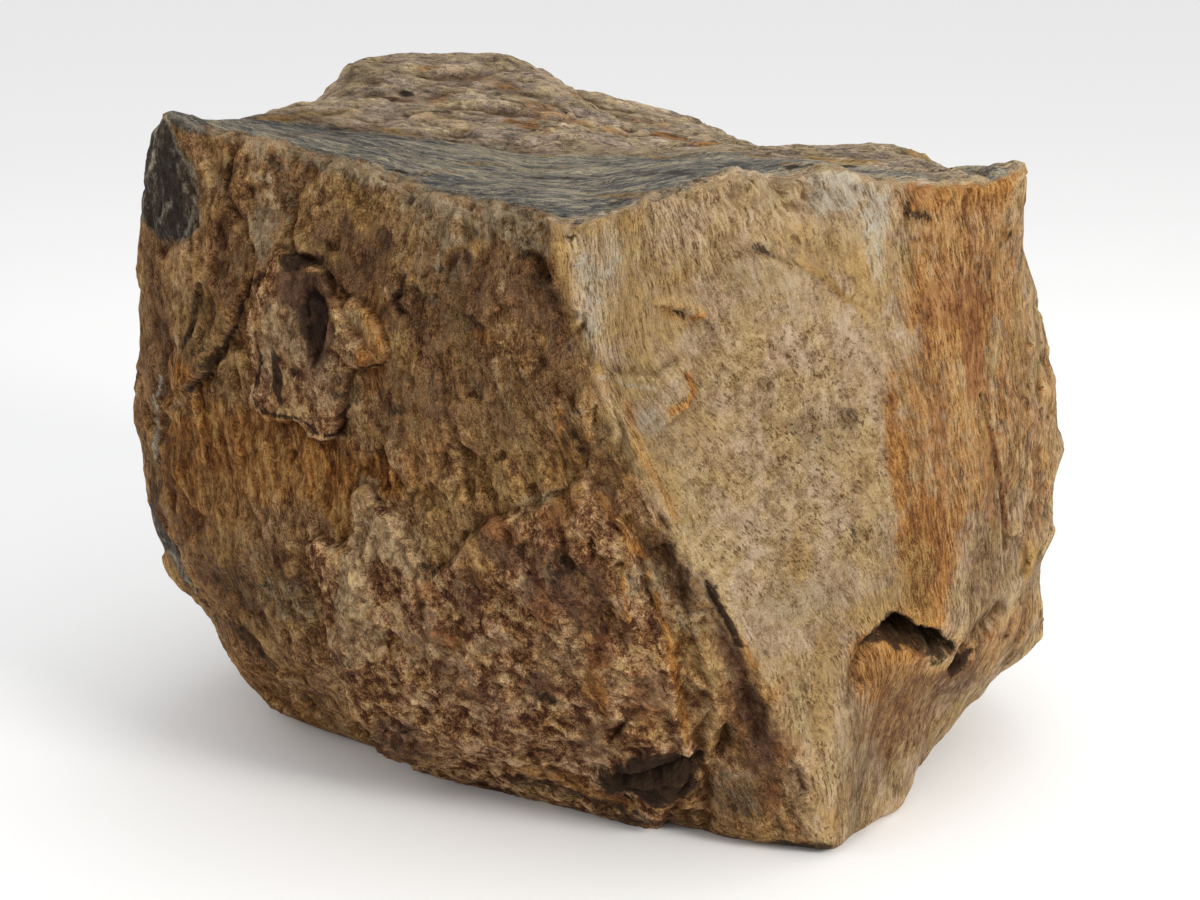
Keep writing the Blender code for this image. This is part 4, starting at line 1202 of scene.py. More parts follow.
@dataclass
class Painter:
    """Writes what the grain and the stone read: fibre directions, faces, stains with painted shade and
    highlights, hollows and edges.

    The join between the grain of the front and that of the top is calm for some seam_rounds of points on
    either side. A hollow or an edge is full where a point lies fine_relief from the mean of its neighbours,
    or broad_relief from that of a wider ring, as far out as form_rounds say.
    """

    mesh: bpy.types.Mesh
    base: np.ndarray
    normals: np.ndarray
    regions: Regions
    seam_rounds: int = 6
    form_rounds: tuple[int, int] = (3, 24)
    fine_relief: float = 0.0012
    broad_relief: float = 0.0055
    calm: np.ndarray = field(init=False)
    masks: dict[Tone, np.ndarray] = field(init=False)

    def __post_init__(self) -> None:
        """Finds which points are joined to which."""
        edges = np.empty(len(self.mesh.edges) * 2, np.int32)
        self.mesh.edges.foreach_get("vertices", edges)
        self.start, self.end = edges.reshape(-1, 2).T
        count = len(self.base)
        self.degree = np.bincount(self.start, minlength=count) + np.bincount(self.end, minlength=count)

    def spread(self, values: np.ndarray) -> np.ndarray:
        """Evens out values over the skin.

        Args:
            values: one for each point.

        Returns:
            The mean of each point's neighbours.
        """
        count = len(values)
        ahead = np.bincount(self.start, values[self.end], count)
        return (ahead + np.bincount(self.end, values[self.start], count)) / self.degree

    def store(self, name: str, values: np.ndarray) -> None:
        """Keeps one number, or one set of three, for every point of the mesh.

        Args:
            name: the attribute's name.
            values: one row each.
        """
        flat = values.ndim == 1
        attribute = self.mesh.attributes.new(name, "FLOAT" if flat else "FLOAT_VECTOR", "POINT")
        attribute.data.foreach_set("value" if flat else "vector", values.astype(np.float32).ravel())

    def grain(self) -> None:
        """Lays out the fibres: x runs across them, y along them and z in depth."""
        x, y, z = self.base.T
        _, depth, height = points_of(self.mesh).T
        unrest = 0.004 * fractal(self.base, 0.04)
        front = np.column_stack((FRONT_GRAIN.follow(x, z, GRAIN_LEVEL) + unrest, z, depth))
        top = np.column_stack((TOP_GRAIN.follow(y, x, 0.0) + unrest, x, height))
        brink = 0.9 * near_rim(self.base, 0.014) * fractal(self.base + 3.0, 0.012, 2)
        over = self.regions.top + brink > 0.5
        self.store("grain", np.where(over[:, None], top, front))
        share = over.astype(float)
        for _ in range(self.seam_rounds):
            share = self.spread(share)
        self.calm = fade(np.abs(share - 0.5), 0.25, 0.48)
        self.store("calm", self.calm)

    def textures(self) -> None:
        """Says where the stone is fibrous, flaky, scaly or knobbly."""
        faces = self.regions
        bare = faces.bare
        self.store("fibrous", self.calm * (faces.right + 0.4 * bare + 0.7 * faces.trough + 0.5 * faces.rest))
        self.store("flaky", self.calm * (bare + 0.25 * faces.right + faces.rest))
        self.store("scaly", self.calm * (faces.top - 0.6 * faces.trough))
        self.store("knobbly", faces.crust + 0.8 * faces.scab)

    def form(self) -> None:
        """Finds the hollows and the edges, fine and broad, from how each point lies to those around it."""
        points, normals = points_of(self.mesh), normals_of(self.mesh)
        smooth = points.copy()
        sunk = []
        for rounds, full in zip(self.form_rounds, (self.fine_relief, self.broad_relief)):
            for _ in range(rounds):
                smooth = np.column_stack([self.spread(smooth[:, axis]) for axis in range(3)])
            sunk.append(np.sum((smooth - points) * normals, axis=1) / full)
        fine, broad = sunk
        hollow = np.clip(fine, 0.0, 1.0) * 0.5 + np.clip(broad, 0.0, 1.0) * 0.7
        edge = np.clip(-fine, 0.0, 1.0) * 0.6 + np.clip(-broad, 0.0, 1.0) * 0.5
        edge *= 1.0 - 0.7 * near_rim(self.base, RIM_REACH)
        columns = (np.clip(hollow, 0.0, 1.0), np.clip(edge, 0.0, 1.0), self.granular())
        self.store("form", np.column_stack(columns))

    def granular(self) -> np.ndarray:
        """Says where the stone is granular: high on the pale face, and on the left one under the scab.

        Returns:
            One share for each point.
        """
        x, _, z = self.base.T
        pale = self.regions.right * fade(-np.hypot(x - 0.17, 0.8 * (z - 0.42)), -0.20, -0.08)
        return pale + self.regions.left * fade(-np.hypot(x + 0.33, 1.5 * (z - 0.34)), -0.14, -0.09)

    def tones(self) -> None:
        """Paints every colour's mask."""
        self.facing = fade(-self.normals[:, 1], -0.30, 0.0)
        self.front = self.facing * (1.0 - self.regions.top)
        self.ragged = 0.6 * fractal(self.base, 0.05, 4) + 0.5 * fractal(self.base + 4.0, 0.014)
        self.masks = {tone: np.zeros(len(self.base)) for tone in Tone}
        self.tone_back()
        self.tone_faces()
        self.tone_facets()
        self.tone_marks()
        for name in sorted({tone.value[0] for tone in Tone}):
            columns = [self.masks[tone] for tone in Tone if tone.value[0] == name]
            self.store(name, np.column_stack(columns))

    def tone_back(self) -> None:
        """Spreads broad clouds of colour over the sides that turn away from the front."""
        away = self.regions.rest * (1.0 - self.front)
        for tone, strength, shift, size, low, high in (
            (Tone.PALE, 0.85, 15.0, 0.26, -0.02, 0.20),
            (Tone.RUST, 0.7, 17.0, 0.18, 0.02, 0.24),
            (Tone.GREY, 0.7, 19.0, 0.15, 0.04, 0.24),
        ):
            self.masks[tone] += strength * away * fade(fractal(self.base + shift, size, 4), low, high)

    def tone_faces(self) -> None:
        """Gives each face its own colour, and the rim its grey."""
        faces, masks = self.regions, self.masks
        away, side, _ = distance_to(self.base[:, [0, 2]], PALE_EDGE)
        masks[Tone.PALE] += self.facing * fade(away * side + 0.008 * self.ragged, -0.008, 0.008)
        masks[Tone.CRUST] = np.clip(faces.crust + faces.scab, 0.0, 1.0)
        rim = fade(0.006 * self.ragged - distance_to(self.base, FRONT_RIM)[0], -0.024, -0.008)
        rim *= fade(self.base[:, 0], -0.43, -0.39)
        masks[Tone.GREY] += 0.5 * rim * (1.0 - masks[Tone.PALE])
        masks[Tone.SLATE] = faces.trough * (1.0 - 0.6 * rim)
        masks[Tone.HUMP] = faces.top - faces.trough

    def tone_facets(self) -> None:
        """Paints shade into the notch, and darkens the facet under the left horn."""
        notch, horn = (
            depth_inside(self.base[:, [0, 2]], outline) + 0.002 * self.ragged
            for outline in (NOTCH_OUTLINE, HORN_OUTLINE)
        )
        horn = self.front * fade(horn, -0.001, 0.002)
        # painted shade inside the notch
        dark = 0.8 * self.front * fade(notch, -0.004, 0.001)
        self.masks[Tone.DARK] = np.maximum(dark, 0.72 * horn)
        self.masks[Tone.SLATE] = np.maximum(self.masks[Tone.SLATE], horn)

    def tone_marks(self) -> None:
        """Lays the stains and veins over the faces, among them painted shade and painted highlights."""
        masks = self.masks
        for marks, axes, where in (
            (stains(STAINS_AND_SHADE) + veins(VEINS_SHADOWS_AND_HIGHLIGHTS), [0, 2], self.front),
            (stains(TOP_STAINS), [0, 1], self.regions.top),
        ):
            seen = self.base[:, axes]
            for mark in marks:
                share = np.clip(where * mark.share(seen, self.ragged), 0.0, 1.0)
                masks[mark.tone] = 1.0 - (1.0 - masks[mark.tone]) * (1.0 - share)
        masks[Tone.DARK] *= 1.0 - 0.6 * masks[Tone.CHALK]


# ---- Node trees. ----

Socket = bpy.types.NodeSocket
Value = float | Sequence[float] | bpy.types.NodeSocket


@dataclass(frozen=True)
class Palette:
    """The colours of one face of the stone, from its darkest to its lightest, each with its place."""

    stops: tuple


@dataclass
class Wiring:
    """Short calls for building a node tree. Values may be numbers, colours or other nodes' sockets."""

    tree: bpy.types.NodeTree

    def node(self, kind: str, **settings: object) -> bpy.types.Node:
        """Adds a node.

        Args:
            kind: the node's type.
            settings: its properties.

        Returns:
            The node.
        """
        node = self.tree.nodes.new(kind)
        for name, value in settings.items():
            setattr(node, name, value)
        return node

    def feed(self, target: Socket, value: Value) -> None:
        """Links a socket to the target, or sets the target's own value.

        Args:
            target: the socket that takes the value.
            value: the value, or the socket that gives it.
        """
        if isinstance(value, bpy.types.NodeSocket):
            self.tree.links.new(value, target)
        else:
            target.default_value = value

    def fill(self, node: bpy.types.Node, *values: Value) -> Socket:
        """Feeds a node's inputs from the first one on.

        Args:
            node: the node.
            values: what its inputs take.

        Returns:
            The node's first output.
        """
        for target, value in zip(node.inputs, values):
            self.feed(target, value)
        return node.outputs[0]

    def maths(self, operation: str, first: Value, second: Value = 0.0) -> Socket:
        """Joins two numbers by an operation."""
        return self.fill(self.node("ShaderNodeMath", operation=operation), first, second)

    def join(self, operation: str, first: Value, second: Value) -> Socket:
        """Joins two vectors by an operation."""
        return self.fill(self.node("ShaderNodeVectorMath", operation=operation), first, second)

    def times(self, first: Value, second: Value) -> Socket:
        """The product of two numbers."""
        return self.maths("MULTIPLY", first, second)

    def minus(self, first: Value, second: Value) -> Socket:
        """The difference of two numbers."""
        return self.maths("SUBTRACT", first, second)

    def stretched(self, vector: Value, scales: Value) -> Socket:
        """The vector with each of its parts multiplied by a scale."""
        return self.join("MULTIPLY", vector, scales)

    def plus(self, *values: Value) -> Socket:
        """Adds numbers up.

        Args:
            values: two numbers or more.

        Returns:
            The socket with the sum.
        """
        total = values[0]
        for value in values[1:]:
            total = self.maths("ADD", total, value)
        return total

    def blend(self, *parts: tuple[Value, Value]) -> Socket:
        """The sum of the parts, each a value with its weight."""
        return self.plus(*[self.times(value, weight) for value, weight in parts])

    def between(self, share: Value, first: Value, second: Value) -> Socket:
        """Finds a number between two others.

        Args:
            share: 0 for the first, 1 for the second.
            first: the first number.
            second: the second.

        Returns:
            The socket with the number.
        """
        node = self.node("ShaderNodeMix", data_type="FLOAT")
        for index, value in ((0, share), (2, first), (3, second)):
            self.feed(node.inputs[index], value)
        return node.outputs[0]

    def combine(self, *parts: Value) -> Socket:
        """A vector from three numbers."""
        return self.fill(self.node("ShaderNodeCombineXYZ"), *parts)

    def separate(self, vector: Value) -> tuple[Socket, ...]:
        """Takes a vector apart.

        Args:
            vector: the vector.

        Returns:
            The sockets with its parts.
        """
        node = self.node("ShaderNodeSeparateXYZ")
        self.feed(node.inputs[0], vector)
        return tuple(node.outputs)

    def noise(
        self, vector: Value, scale: Value, detail: float = 4.0, rough: float = 0.55, twist: Value = 0.0
    ) -> Socket:
        """Noise from 0 to 1.

        Args:
            vector: where it is read.
            scale: lumps to the metre.
            detail: how many finer sizes are added.
            rough: how strong the finer sizes are.
            twist: how much it is pulled about.

        Returns:
            The socket with the noise.
        """
        node = self.node("ShaderNodeTexNoise")
        self.feed(node.inputs["Vector"], vector)
        self.feed(node.inputs["Scale"], scale)
        node.inputs["Detail"].default_value = detail
        node.inputs["Roughness"].default_value = rough
        self.feed(node.inputs["Distortion"], twist)
        return node.outputs[0]

    def cells(self, vector: Value) -> bpy.types.NodeOutputs:
        """The outputs of a field of cells, one to each unit of the vector."""
        node = self.node("ShaderNodeTexVoronoi")
        self.feed(node.inputs["Vector"], vector)
        node.inputs["Scale"].default_value = 1.0
        return node.outputs

    def grade(
        self, value: Value, low: Value, high: Value, to_low: Value = 0.0, to_high: Value = 1.0
    ) -> Socket:
        """Maps a range of numbers to another, smoothly and clamped.

        Args:
            value: the number to map.
            low: the start of its range.
            high: the end of its range.
            to_low: what the start is mapped to.
            to_high: what the end is mapped to.

        Returns:
            The socket with the mapped number.
        """
        node = self.node("ShaderNodeMapRange", interpolation_type="SMOOTHSTEP")
        return self.fill(node, value, low, high, to_low, to_high)

    def mix(self, share: Value, first: Value, second: Value, blend: str = "MIX") -> Socket:
        """Mixes two colours.

        Args:
            share: how much of the second shows.
            first: the colour underneath.
            second: the colour over it.
            blend: how they meet.

        Returns:
            The socket with the colour.
        """
        node = self.node("ShaderNodeMix", data_type="RGBA", blend_type=blend)
        for index, value in ((0, share), (6, first), (7, second)):
            self.feed(node.inputs[index], value)
        return node.outputs[2]

    def ramp(self, value: Value, palette: Palette) -> Socket:
        """Turns a number into one of the palette's colours.

        Args:
            value: the number, from 0 to 1.
            palette: the colours and their places.

        Returns:
            The socket with the colour.
        """
        node = self.node("ShaderNodeValToRGB")
        self.feed(node.inputs[0], value)
        stops = node.color_ramp.elements
        while len(stops) < len(palette.stops):
            stops.new(0.5)
        for stop, (place, colour) in zip(stops, palette.stops):
            stop.position = place
            stop.color = (*colour, 1.0)
        return node.outputs[0]

    def painted(self, name: str, output: str = "Vector") -> Socket:
        """What is painted on the mesh under a name."""
        return self.node("ShaderNodeAttribute", attribute_name=name).outputs[output]

    def masks(self, name: str) -> tuple[Socket, ...]:
        """The three masks that are painted on the mesh under a name."""
        return self.separate(self.painted(name))


@dataclass(frozen=True)
class StoneFinish:
    """Iron-stained mica schist, with the tints of its painted shade and painted highlights."""

    brown: Palette = Palette((
        (0.26, (0.050, 0.024, 0.010)), (0.38, (0.128, 0.063, 0.025)), (0.50, (0.214, 0.117, 0.047)),
        (0.61, (0.305, 0.184, 0.079)), (0.75, (0.400, 0.284, 0.150)),
    ))
    tan: Palette = Palette((
        (0.16, (0.085, 0.051, 0.025)), (0.33, (0.175, 0.115, 0.057)), (0.50, (0.265, 0.187, 0.102)),
        (0.64, (0.325, 0.242, 0.142)), (0.80, (0.382, 0.302, 0.200)),
    ))
    crust: Palette = Palette((
        (0.30, (0.054, 0.021, 0.010)), (0.41, (0.126, 0.056, 0.024)), (0.51, (0.220, 0.118, 0.052)),
        (0.60, (0.325, 0.198, 0.096)), (0.72, (0.435, 0.302, 0.166)),
    ))
    slate: Palette = Palette((
        (0.29, (0.056, 0.057, 0.057)), (0.44, (0.118, 0.115, 0.105)), (0.54, (0.192, 0.175, 0.138)),
        (0.68, (0.325, 0.278, 0.192)),
    ))
    hump: Palette = Palette((
        (0.27, (0.095, 0.073, 0.050)), (0.40, (0.200, 0.162, 0.116)), (0.52, (0.295, 0.240, 0.172)),
        (0.62, (0.370, 0.278, 0.170)), (0.74, (0.440, 0.392, 0.315)),
    ))
    rust: Palette = Palette((
        (0.27, (0.098, 0.035, 0.009)), (0.43, (0.195, 0.080, 0.019)), (0.57, (0.290, 0.133, 0.034)),
        (0.73, (0.345, 0.205, 0.080)),
    ))
    ochre: Palette = Palette(((0.30, (0.190, 0.107, 0.034)), (0.70, (0.345, 0.228, 0.092))))
    plum: Palette = Palette(((0.30, (0.045, 0.021, 0.012)), (0.70, (0.135, 0.072, 0.042))))
    grey: Palette = Palette(((0.30, (0.132, 0.095, 0.054)), (0.70, (0.300, 0.232, 0.148))))
    cream: Palette = Palette((
        (0.30, (0.185, 0.110, 0.053)), (0.50, (0.295, 0.196, 0.103)), (0.70, (0.415, 0.300, 0.165)),
    ))
    # the colour of dark stains, and of the shade painted in cracks, clefts, the slot and the notch
    dark: Colour = (0.022, 0.012, 0.007, 1.0)
    red: Palette = Palette(((0.30, (0.125, 0.045, 0.016)), (0.70, (0.270, 0.125, 0.050))))
    chalk: Palette = Palette(((0.30, (0.210, 0.180, 0.130)), (0.70, (0.330, 0.300, 0.245))))
    # tints for painted shade in the hollows, the gaps between fibres and the steps' dark sides, and for
    # painted highlights on the steps' crests and on the edges
    painted_shade_tint: Colour = (0.34, 0.24, 0.16, 1.0)
    painted_highlight_tint: Colour = (1.45, 1.50, 1.55, 1.0)
    edge_highlight_tint: Colour = (1.40, 1.34, 1.20, 1.0)
    gold_tint: Colour = (1.03, 1.00, 0.86, 1.0)
    rose_tint: Colour = (1.01, 0.99, 1.10, 1.0)


class GroupMaker:
    """The effects that the stone uses again and again, each a node group with its own values."""

    @staticmethod
    def start(name: str, vector: str, **numbers: float) -> tuple:
        """Starts a node group that makes a mask from a vector and some numbers.

        Args:
            name: the group's name.
            vector: the name of the input that takes the vector.
            numbers: the value of each other input by its name.

        Returns:
            The wiring, the outputs of the group's input node and the input of its output node.
        """
        tree = bpy.data.node_groups.new(name, "ShaderNodeTree")
        tree.interface.new_socket(vector, in_out="INPUT", socket_type="NodeSocketVector")
        for label, value in numbers.items():
            socket = tree.interface.new_socket(label, in_out="INPUT", socket_type="NodeSocketFloat")
            socket.default_value = value
        tree.interface.new_socket("Mask", in_out="OUTPUT", socket_type="NodeSocketFloat")
        wiring = Wiring(tree)
        return wiring, wiring.node("NodeGroupInput").outputs, wiring.node("NodeGroupOutput").inputs["Mask"]

    @classmethod
    def fibre(cls) -> bpy.types.NodeTree:
        """Streaks along the grain.

        Returns:
            The group.
        """
        wiring, given, mask = cls.start(
            "stone_fibre", "Grain", Across=100.0, Along=10.0, Low=0.3, High=0.7, Shift=0.0
        )
        scales = wiring.combine(given["Across"], given["Along"], given["Across"])
        shift = wiring.combine(given["Shift"], given["Shift"], 0.0)
        place = wiring.join("ADD", wiring.stretched(given["Grain"], scales), shift)
        reading = wiring.noise(place, 1.0, 2.5, 0.6)
        wiring.feed(mask, wiring.grade(reading, given["Low"], given["High"]))
        return wiring.tree

    @classmethod
    def blotch(cls) -> bpy.types.NodeTree:
        """Ragged patches.

        Returns:
            The group.
        """
        wiring, given, mask = cls.start("stone_blotch", "Position", Scale=20.0, Low=0.4, High=0.6, Twist=0.6)
        reading = wiring.noise(given["Position"], given["Scale"], 4.0, 0.65, given["Twist"])
        wiring.feed(mask, wiring.grade(reading, given["Low"], given["High"]))
        return wiring.tree


@dataclass
class StoneMaterial:
    """The rock's one material, built from the groups and steered by the painted masks."""

    finish: StoneFinish = field(default_factory=StoneFinish)

    def build(self) -> bpy.types.Material:
        """Builds the material.

        Returns:
            The material.
        """
        material = bpy.data.materials.new("iron_stained_schist")
        material.use_nodes = True
        wiring = self.wiring = Wiring(material.node_tree)
        self.groups = {"fibre": GroupMaker.fibre(), "blotch": GroupMaker.blotch()}
        self.place = wiring.node("ShaderNodeTexCoord").outputs["Object"]
        self.grain = wiring.painted("grain")
        self.calm = wiring.painted("calm", "Fac")
        self.hollow, self.edge, self.granular = wiring.masks("form")
        self.pale, self.crusted, self.rusty = wiring.masks("tone_face")
        self.dark, self.grey, self.slaty = wiring.masks("tone_stain")
        self.humped, self.red, self.cream = wiring.masks("tone_wash")
        self.ochre, self.plum, self.chalk = wiring.masks("tone_tint")
        # painted shade in the gaps between the fibres and in the pits
        self.shaded_gaps = self.shaded_cracklets()
        # the painted shadows and painted highlights of small steps between the layers
        self.seams, self.step_highlights = self.step_shade_lines()
        self.flake_level, self.flake_tilt = self.chips(100.0, 55.0)
        self.leaf_level, self.leaf_tilt = self.chips(240.0, 130.0)
        surface = material.node_tree.nodes["Principled BSDF"]
        wiring.feed(surface.inputs["Base Color"], self.colour())
        wiring.feed(surface.inputs["Roughness"], self.roughness())
        wiring.feed(surface.inputs["Normal"], self.bump())
        surface.inputs["Metallic"].default_value = 0.0
        surface.inputs["Specular IOR Level"].default_value = 0.08
        return material

    def group(self, name: str, **values: Value) -> Socket:
        """Places a node group.

        Args:
            name: the group's short name.
            values: its inputs.

        Returns:
            The group's mask.
        """
        node = self.wiring.node("ShaderNodeGroup", node_tree=self.groups[name])
        for label, value in values.items():
            self.wiring.feed(node.inputs[label], value)
        return node.outputs["Mask"]

    def fibre(self, across: float, along: float, low: float, high: float, shift: float = 0.0) -> Socket:
        """Streaks along the grain, so many across and along to the metre."""
        sizes = {"Across": across, "Along": along}
        return self.group("fibre", Grain=self.grain, Low=low, High=high, Shift=shift, **sizes)

    def blotch(self, scale: float, low: float, high: float, twist: float, offset: float = 0.0) -> Socket:
        """Ragged patches, so many to the metre."""
        place = self.wiring.join("ADD", self.place, (offset, offset, offset))
        return self.group("blotch", Position=place, Scale=scale, Low=low, High=high, Twist=twist)

    def colour(self) -> Socket:
        """The stone's colour: each face's own palette, stains and painted shade over it, painted shade in the
        hollows and painted highlights on the edges.

        Returns:
            The socket with the colour.
        """
        wiring, finish = self.wiring, self.finish
        blend, between, mix = wiring.blend, wiring.between, wiring.mix
        broad = self.fibre(22.0, 5.0, 0.32, 0.68)
        streak = self.fibre(110.0, 20.0, 0.34, 0.66, 3.0)
        thread = self.fibre(400.0, 75.0, 0.34, 0.66, 7.0)
        grit = wiring.grade(wiring.noise(self.place, 650.0, 1.5), 0.30, 0.70)
        patches = self.blotch(17.0, 0.34, 0.66, 0.4)
        mottle = self.blotch(90.0, 0.36, 0.64, 0.2, 2.0)
        plates = self.blotch(38.0, 0.36, 0.64, 0.2, 9.0)
        drift = self.blotch(24.0, 0.36, 0.64, 0.5, 21.0)
        level = blend((self.flake_level, 0.6), (self.leaf_level, 0.4))
        fibrous = blend((broad, 0.20), (streak, 0.22), (thread, 0.26), (grit, 0.18), (level, 0.14))
        spotty = blend((patches, 0.22), (mottle, 0.36), (grit, 0.24), (level, 0.18))
        rough = blend((mottle, 0.45), (streak, 0.20), (level, 0.35))
        streaky = blend((patches, 0.26), (streak, 0.34), (thread, 0.24), (grit, 0.16))
        fine = blend((thread, 0.35), (mottle, 0.35), (grit, 0.30))
        mixed = blend((fibrous, 0.28), (patches, 0.18), (mottle, 0.18), (grit, 0.14), (level, 0.22))
        blotchy = blend((plates, 0.28), (mottle, 0.22), (grit, 0.20), (level, 0.30))
        grained = between(wiring.times(self.granular, 0.7), fibrous, spotty)
        rusted = between(self.pale, streaky, fibrous)

        colour = mix(self.pale, wiring.ramp(mixed, finish.brown), wiring.ramp(grained, finish.tan))
        colour = mix(self.crusted, colour, wiring.ramp(blotchy, finish.crust))
        colour = mix(self.humped, colour, wiring.ramp(mixed, finish.hump))
        colour = mix(1.0, colour, mix(drift, finish.gold_tint, finish.rose_tint), "MULTIPLY")
        for mask, grains, wash, reading, palette in (
            (self.slaty, rough, 0.35, fibrous, finish.slate),
            (self.rusty, rough, 0.5, rusted, finish.rust),
            (self.ochre, fine, 0.35, mixed, finish.ochre),
            (self.plum, rough, 0.35, mixed, finish.plum),
            (self.grey, rough, 0.35, mixed, finish.grey),
            (self.red, fine, 0.35, fibrous, finish.red),
            (self.cream, fine, 0.6, spotty, finish.cream),
            (self.chalk, fine, 0.35, fibrous, finish.chalk),
        ):
            colour = mix(self.dissolve(mask, grains, wash), colour, wiring.ramp(reading, palette))
        # dark stains, and painted shade where the dark mask lies in cracks, clefts, the slot and the notch
        colour = mix(self.dissolve(self.dark, fine, 0.2), colour, finish.dark)
        # painted shadow on the steps' dark sides, painted shade in the gaps and the hollows, painted
        # highlights on the steps' crests and on the edges
        for mask, strength, tint in (
            (self.seams, 0.75, finish.painted_shade_tint),
            (self.step_highlights, 0.7, finish.painted_highlight_tint),
            (self.shaded_gaps, 0.85, finish.painted_shade_tint),
            (self.hollow, 0.9, finish.painted_shade_tint),
            (self.edge, 0.8, finish.edge_highlight_tint),
        ):
            colour = mix(wiring.times(mask, strength), colour, mix(1.0, colour, tint, "MULTIPLY"))
        return colour

    def dissolve(self, mask: Value, grains: Value, wash: float) -> Socket:
        """Breaks a painted mask up into ragged grains over a weaker wash.

        Args:
            mask: the painted mask.
            grains: the pattern that breaks it up.
            wash: how strong the wash is.

        Returns:
            The socket with the broken mask.
        """
        wiring = self.wiring
        rest = wiring.minus(1.0, mask)
        broken = wiring.grade(grains, wiring.minus(rest, 0.22), wiring.plus(rest, 0.22))
        broken = wiring.times(broken, wiring.grade(mask, 0.0, 0.15))
        return wiring.blend((broken, 0.98 - wash), (mask, wash))

    def step_shade_lines(self) -> tuple[Socket, ...]:
        """Thin lines between layers, painted shadow below and painted highlight above as if each were a small
        step: long on the top, short on the rough faces.

        Returns:
            Where the painted shadows are, and where the painted highlights are.
        """
        wiring = self.wiring
        smooth = wiring.grade(wiring.plus(self.pale, self.humped, self.slaty), 0.0, 1.0, 0.9, 0.0)
        short = wiring.maths("MAXIMUM", self.crusted, smooth)
        scales = wiring.mix(short, (85.0, 16.0, 85.0, 1.0), (62.0, 36.0, 62.0, 1.0))
        layers = wiring.noise(wiring.stretched(self.grain, scales), 1.0, 4.0, 0.65)
        gather = wiring.maths("MAXIMUM", self.blotch(14.0, 0.42, 0.62, 0.0, 5.0), wiring.times(short, 0.75))
        plain = wiring.plus(self.pale, wiring.times(self.crusted, 0.45))
        gather = wiring.times(gather, wiring.grade(plain, 0.0, 1.0, 0.9, 0.15))
        lines = []
        for middle in (0.490, 0.512):
            away = wiring.maths("ABSOLUTE", wiring.minus(layers, middle))
            lines.append(wiring.times(wiring.grade(away, 0.003, 0.017, 1.0, 0.0), gather))
        return tuple(lines)

    def shaded_cracklets(self) -> Socket:
        """Painted shade in short gaps between the fibres, in gatherings, and in pits where the stone is
        granular.

        Returns:
            The socket with how dark the painted shade is.
        """
        wiring = self.wiring
        gather = self.blotch(38.0, 0.38, 0.60, 0.3, 13.0)
        gaps = self.fibre(420.0, 95.0, 0.54, 0.66, 17.0)
        gaps = wiring.times(gaps, wiring.plus(0.3, wiring.times(gather, 0.7)))
        pits = self.fibre(330.0, 170.0, 0.56, 0.66, 23.0)
        pits = wiring.times(pits, wiring.plus(0.2, wiring.times(gather, 0.8)))
        return wiring.between(wiring.grade(self.pale, 0.0, 1.0, 0.75, self.granular), gaps, pits)

    def chips(self, across: float, along: float) -> tuple[Socket, Socket]:
        """Small chips of the stone, so many across and along to the metre.

        Args:
            across: chips to the metre across the grain.
            along: chips to the metre along it.

        Returns:
            A level from 0 to 1 for each chip, and the height of its leaning plane in metres.
        """
        wiring = self.wiring
        place = wiring.stretched(self.grain, (across, along, across))
        pull = wiring.node("ShaderNodeTexNoise")
        wiring.feed(pull.inputs["Vector"], place)
        pull.inputs["Scale"].default_value = 1.4
        pull.inputs["Detail"].default_value = 3.0
        ragged = wiring.join("ADD", place, wiring.stretched(pull.outputs["Color"], (1.3, 1.3, 1.3)))
        cells = wiring.cells(ragged)
        level = wiring.separate(cells["Color"])[0]
        plane = wiring.node("ShaderNodeVectorMath", operation="DOT_PRODUCT")
        wiring.feed(plane.inputs[0], wiring.join("SUBTRACT", cells["Color"], (0.5, 0.5, 0.5)))
        wiring.feed(plane.inputs[1], wiring.join("SUBTRACT", ragged, cells["Position"]))
        return level, wiring.times(plane.outputs["Value"], 1.0 / across)

    def roughness(self) -> Socket:
        """How dull the stone is: dullest in the hollows and in the gaps between the fibres."""
        return self.wiring.grade(self.wiring.plus(self.hollow, self.shaded_gaps), 0.0, 1.2, 0.78, 0.96)

    def bump(self) -> Socket:
        """The relief that is too fine for the mesh: leaves, grit and the gaps between fibres.

        Returns:
            The socket with the normal.
        """
        wiring = self.wiring
        broken = wiring.blend(
            (self.flake_level, 0.0010), (self.leaf_level, 0.0005),
            (self.flake_tilt, 0.45), (self.leaf_tilt, 0.45),
        )
        leaves = wiring.blend(
            (broken, wiring.grade(self.pale, 0.0, 1.0, 2.2, 0.6)),
            (self.shaded_gaps, -0.0012), (self.seams, -0.0014), (self.step_highlights, 0.0008),
        )
        grit = wiring.times(wiring.noise(self.place, 330.0, 2.5, 0.75), 0.0022)
        node = wiring.node("ShaderNodeBump")
        node.inputs["Strength"].default_value = 1.0
        node.inputs["Distance"].default_value = 1.0
        wiring.feed(node.inputs["Height"], wiring.plus(wiring.times(leaves, self.calm), grit))
        return node.outputs[0]


# ---- The finest relief, made by geometry nodes. ----


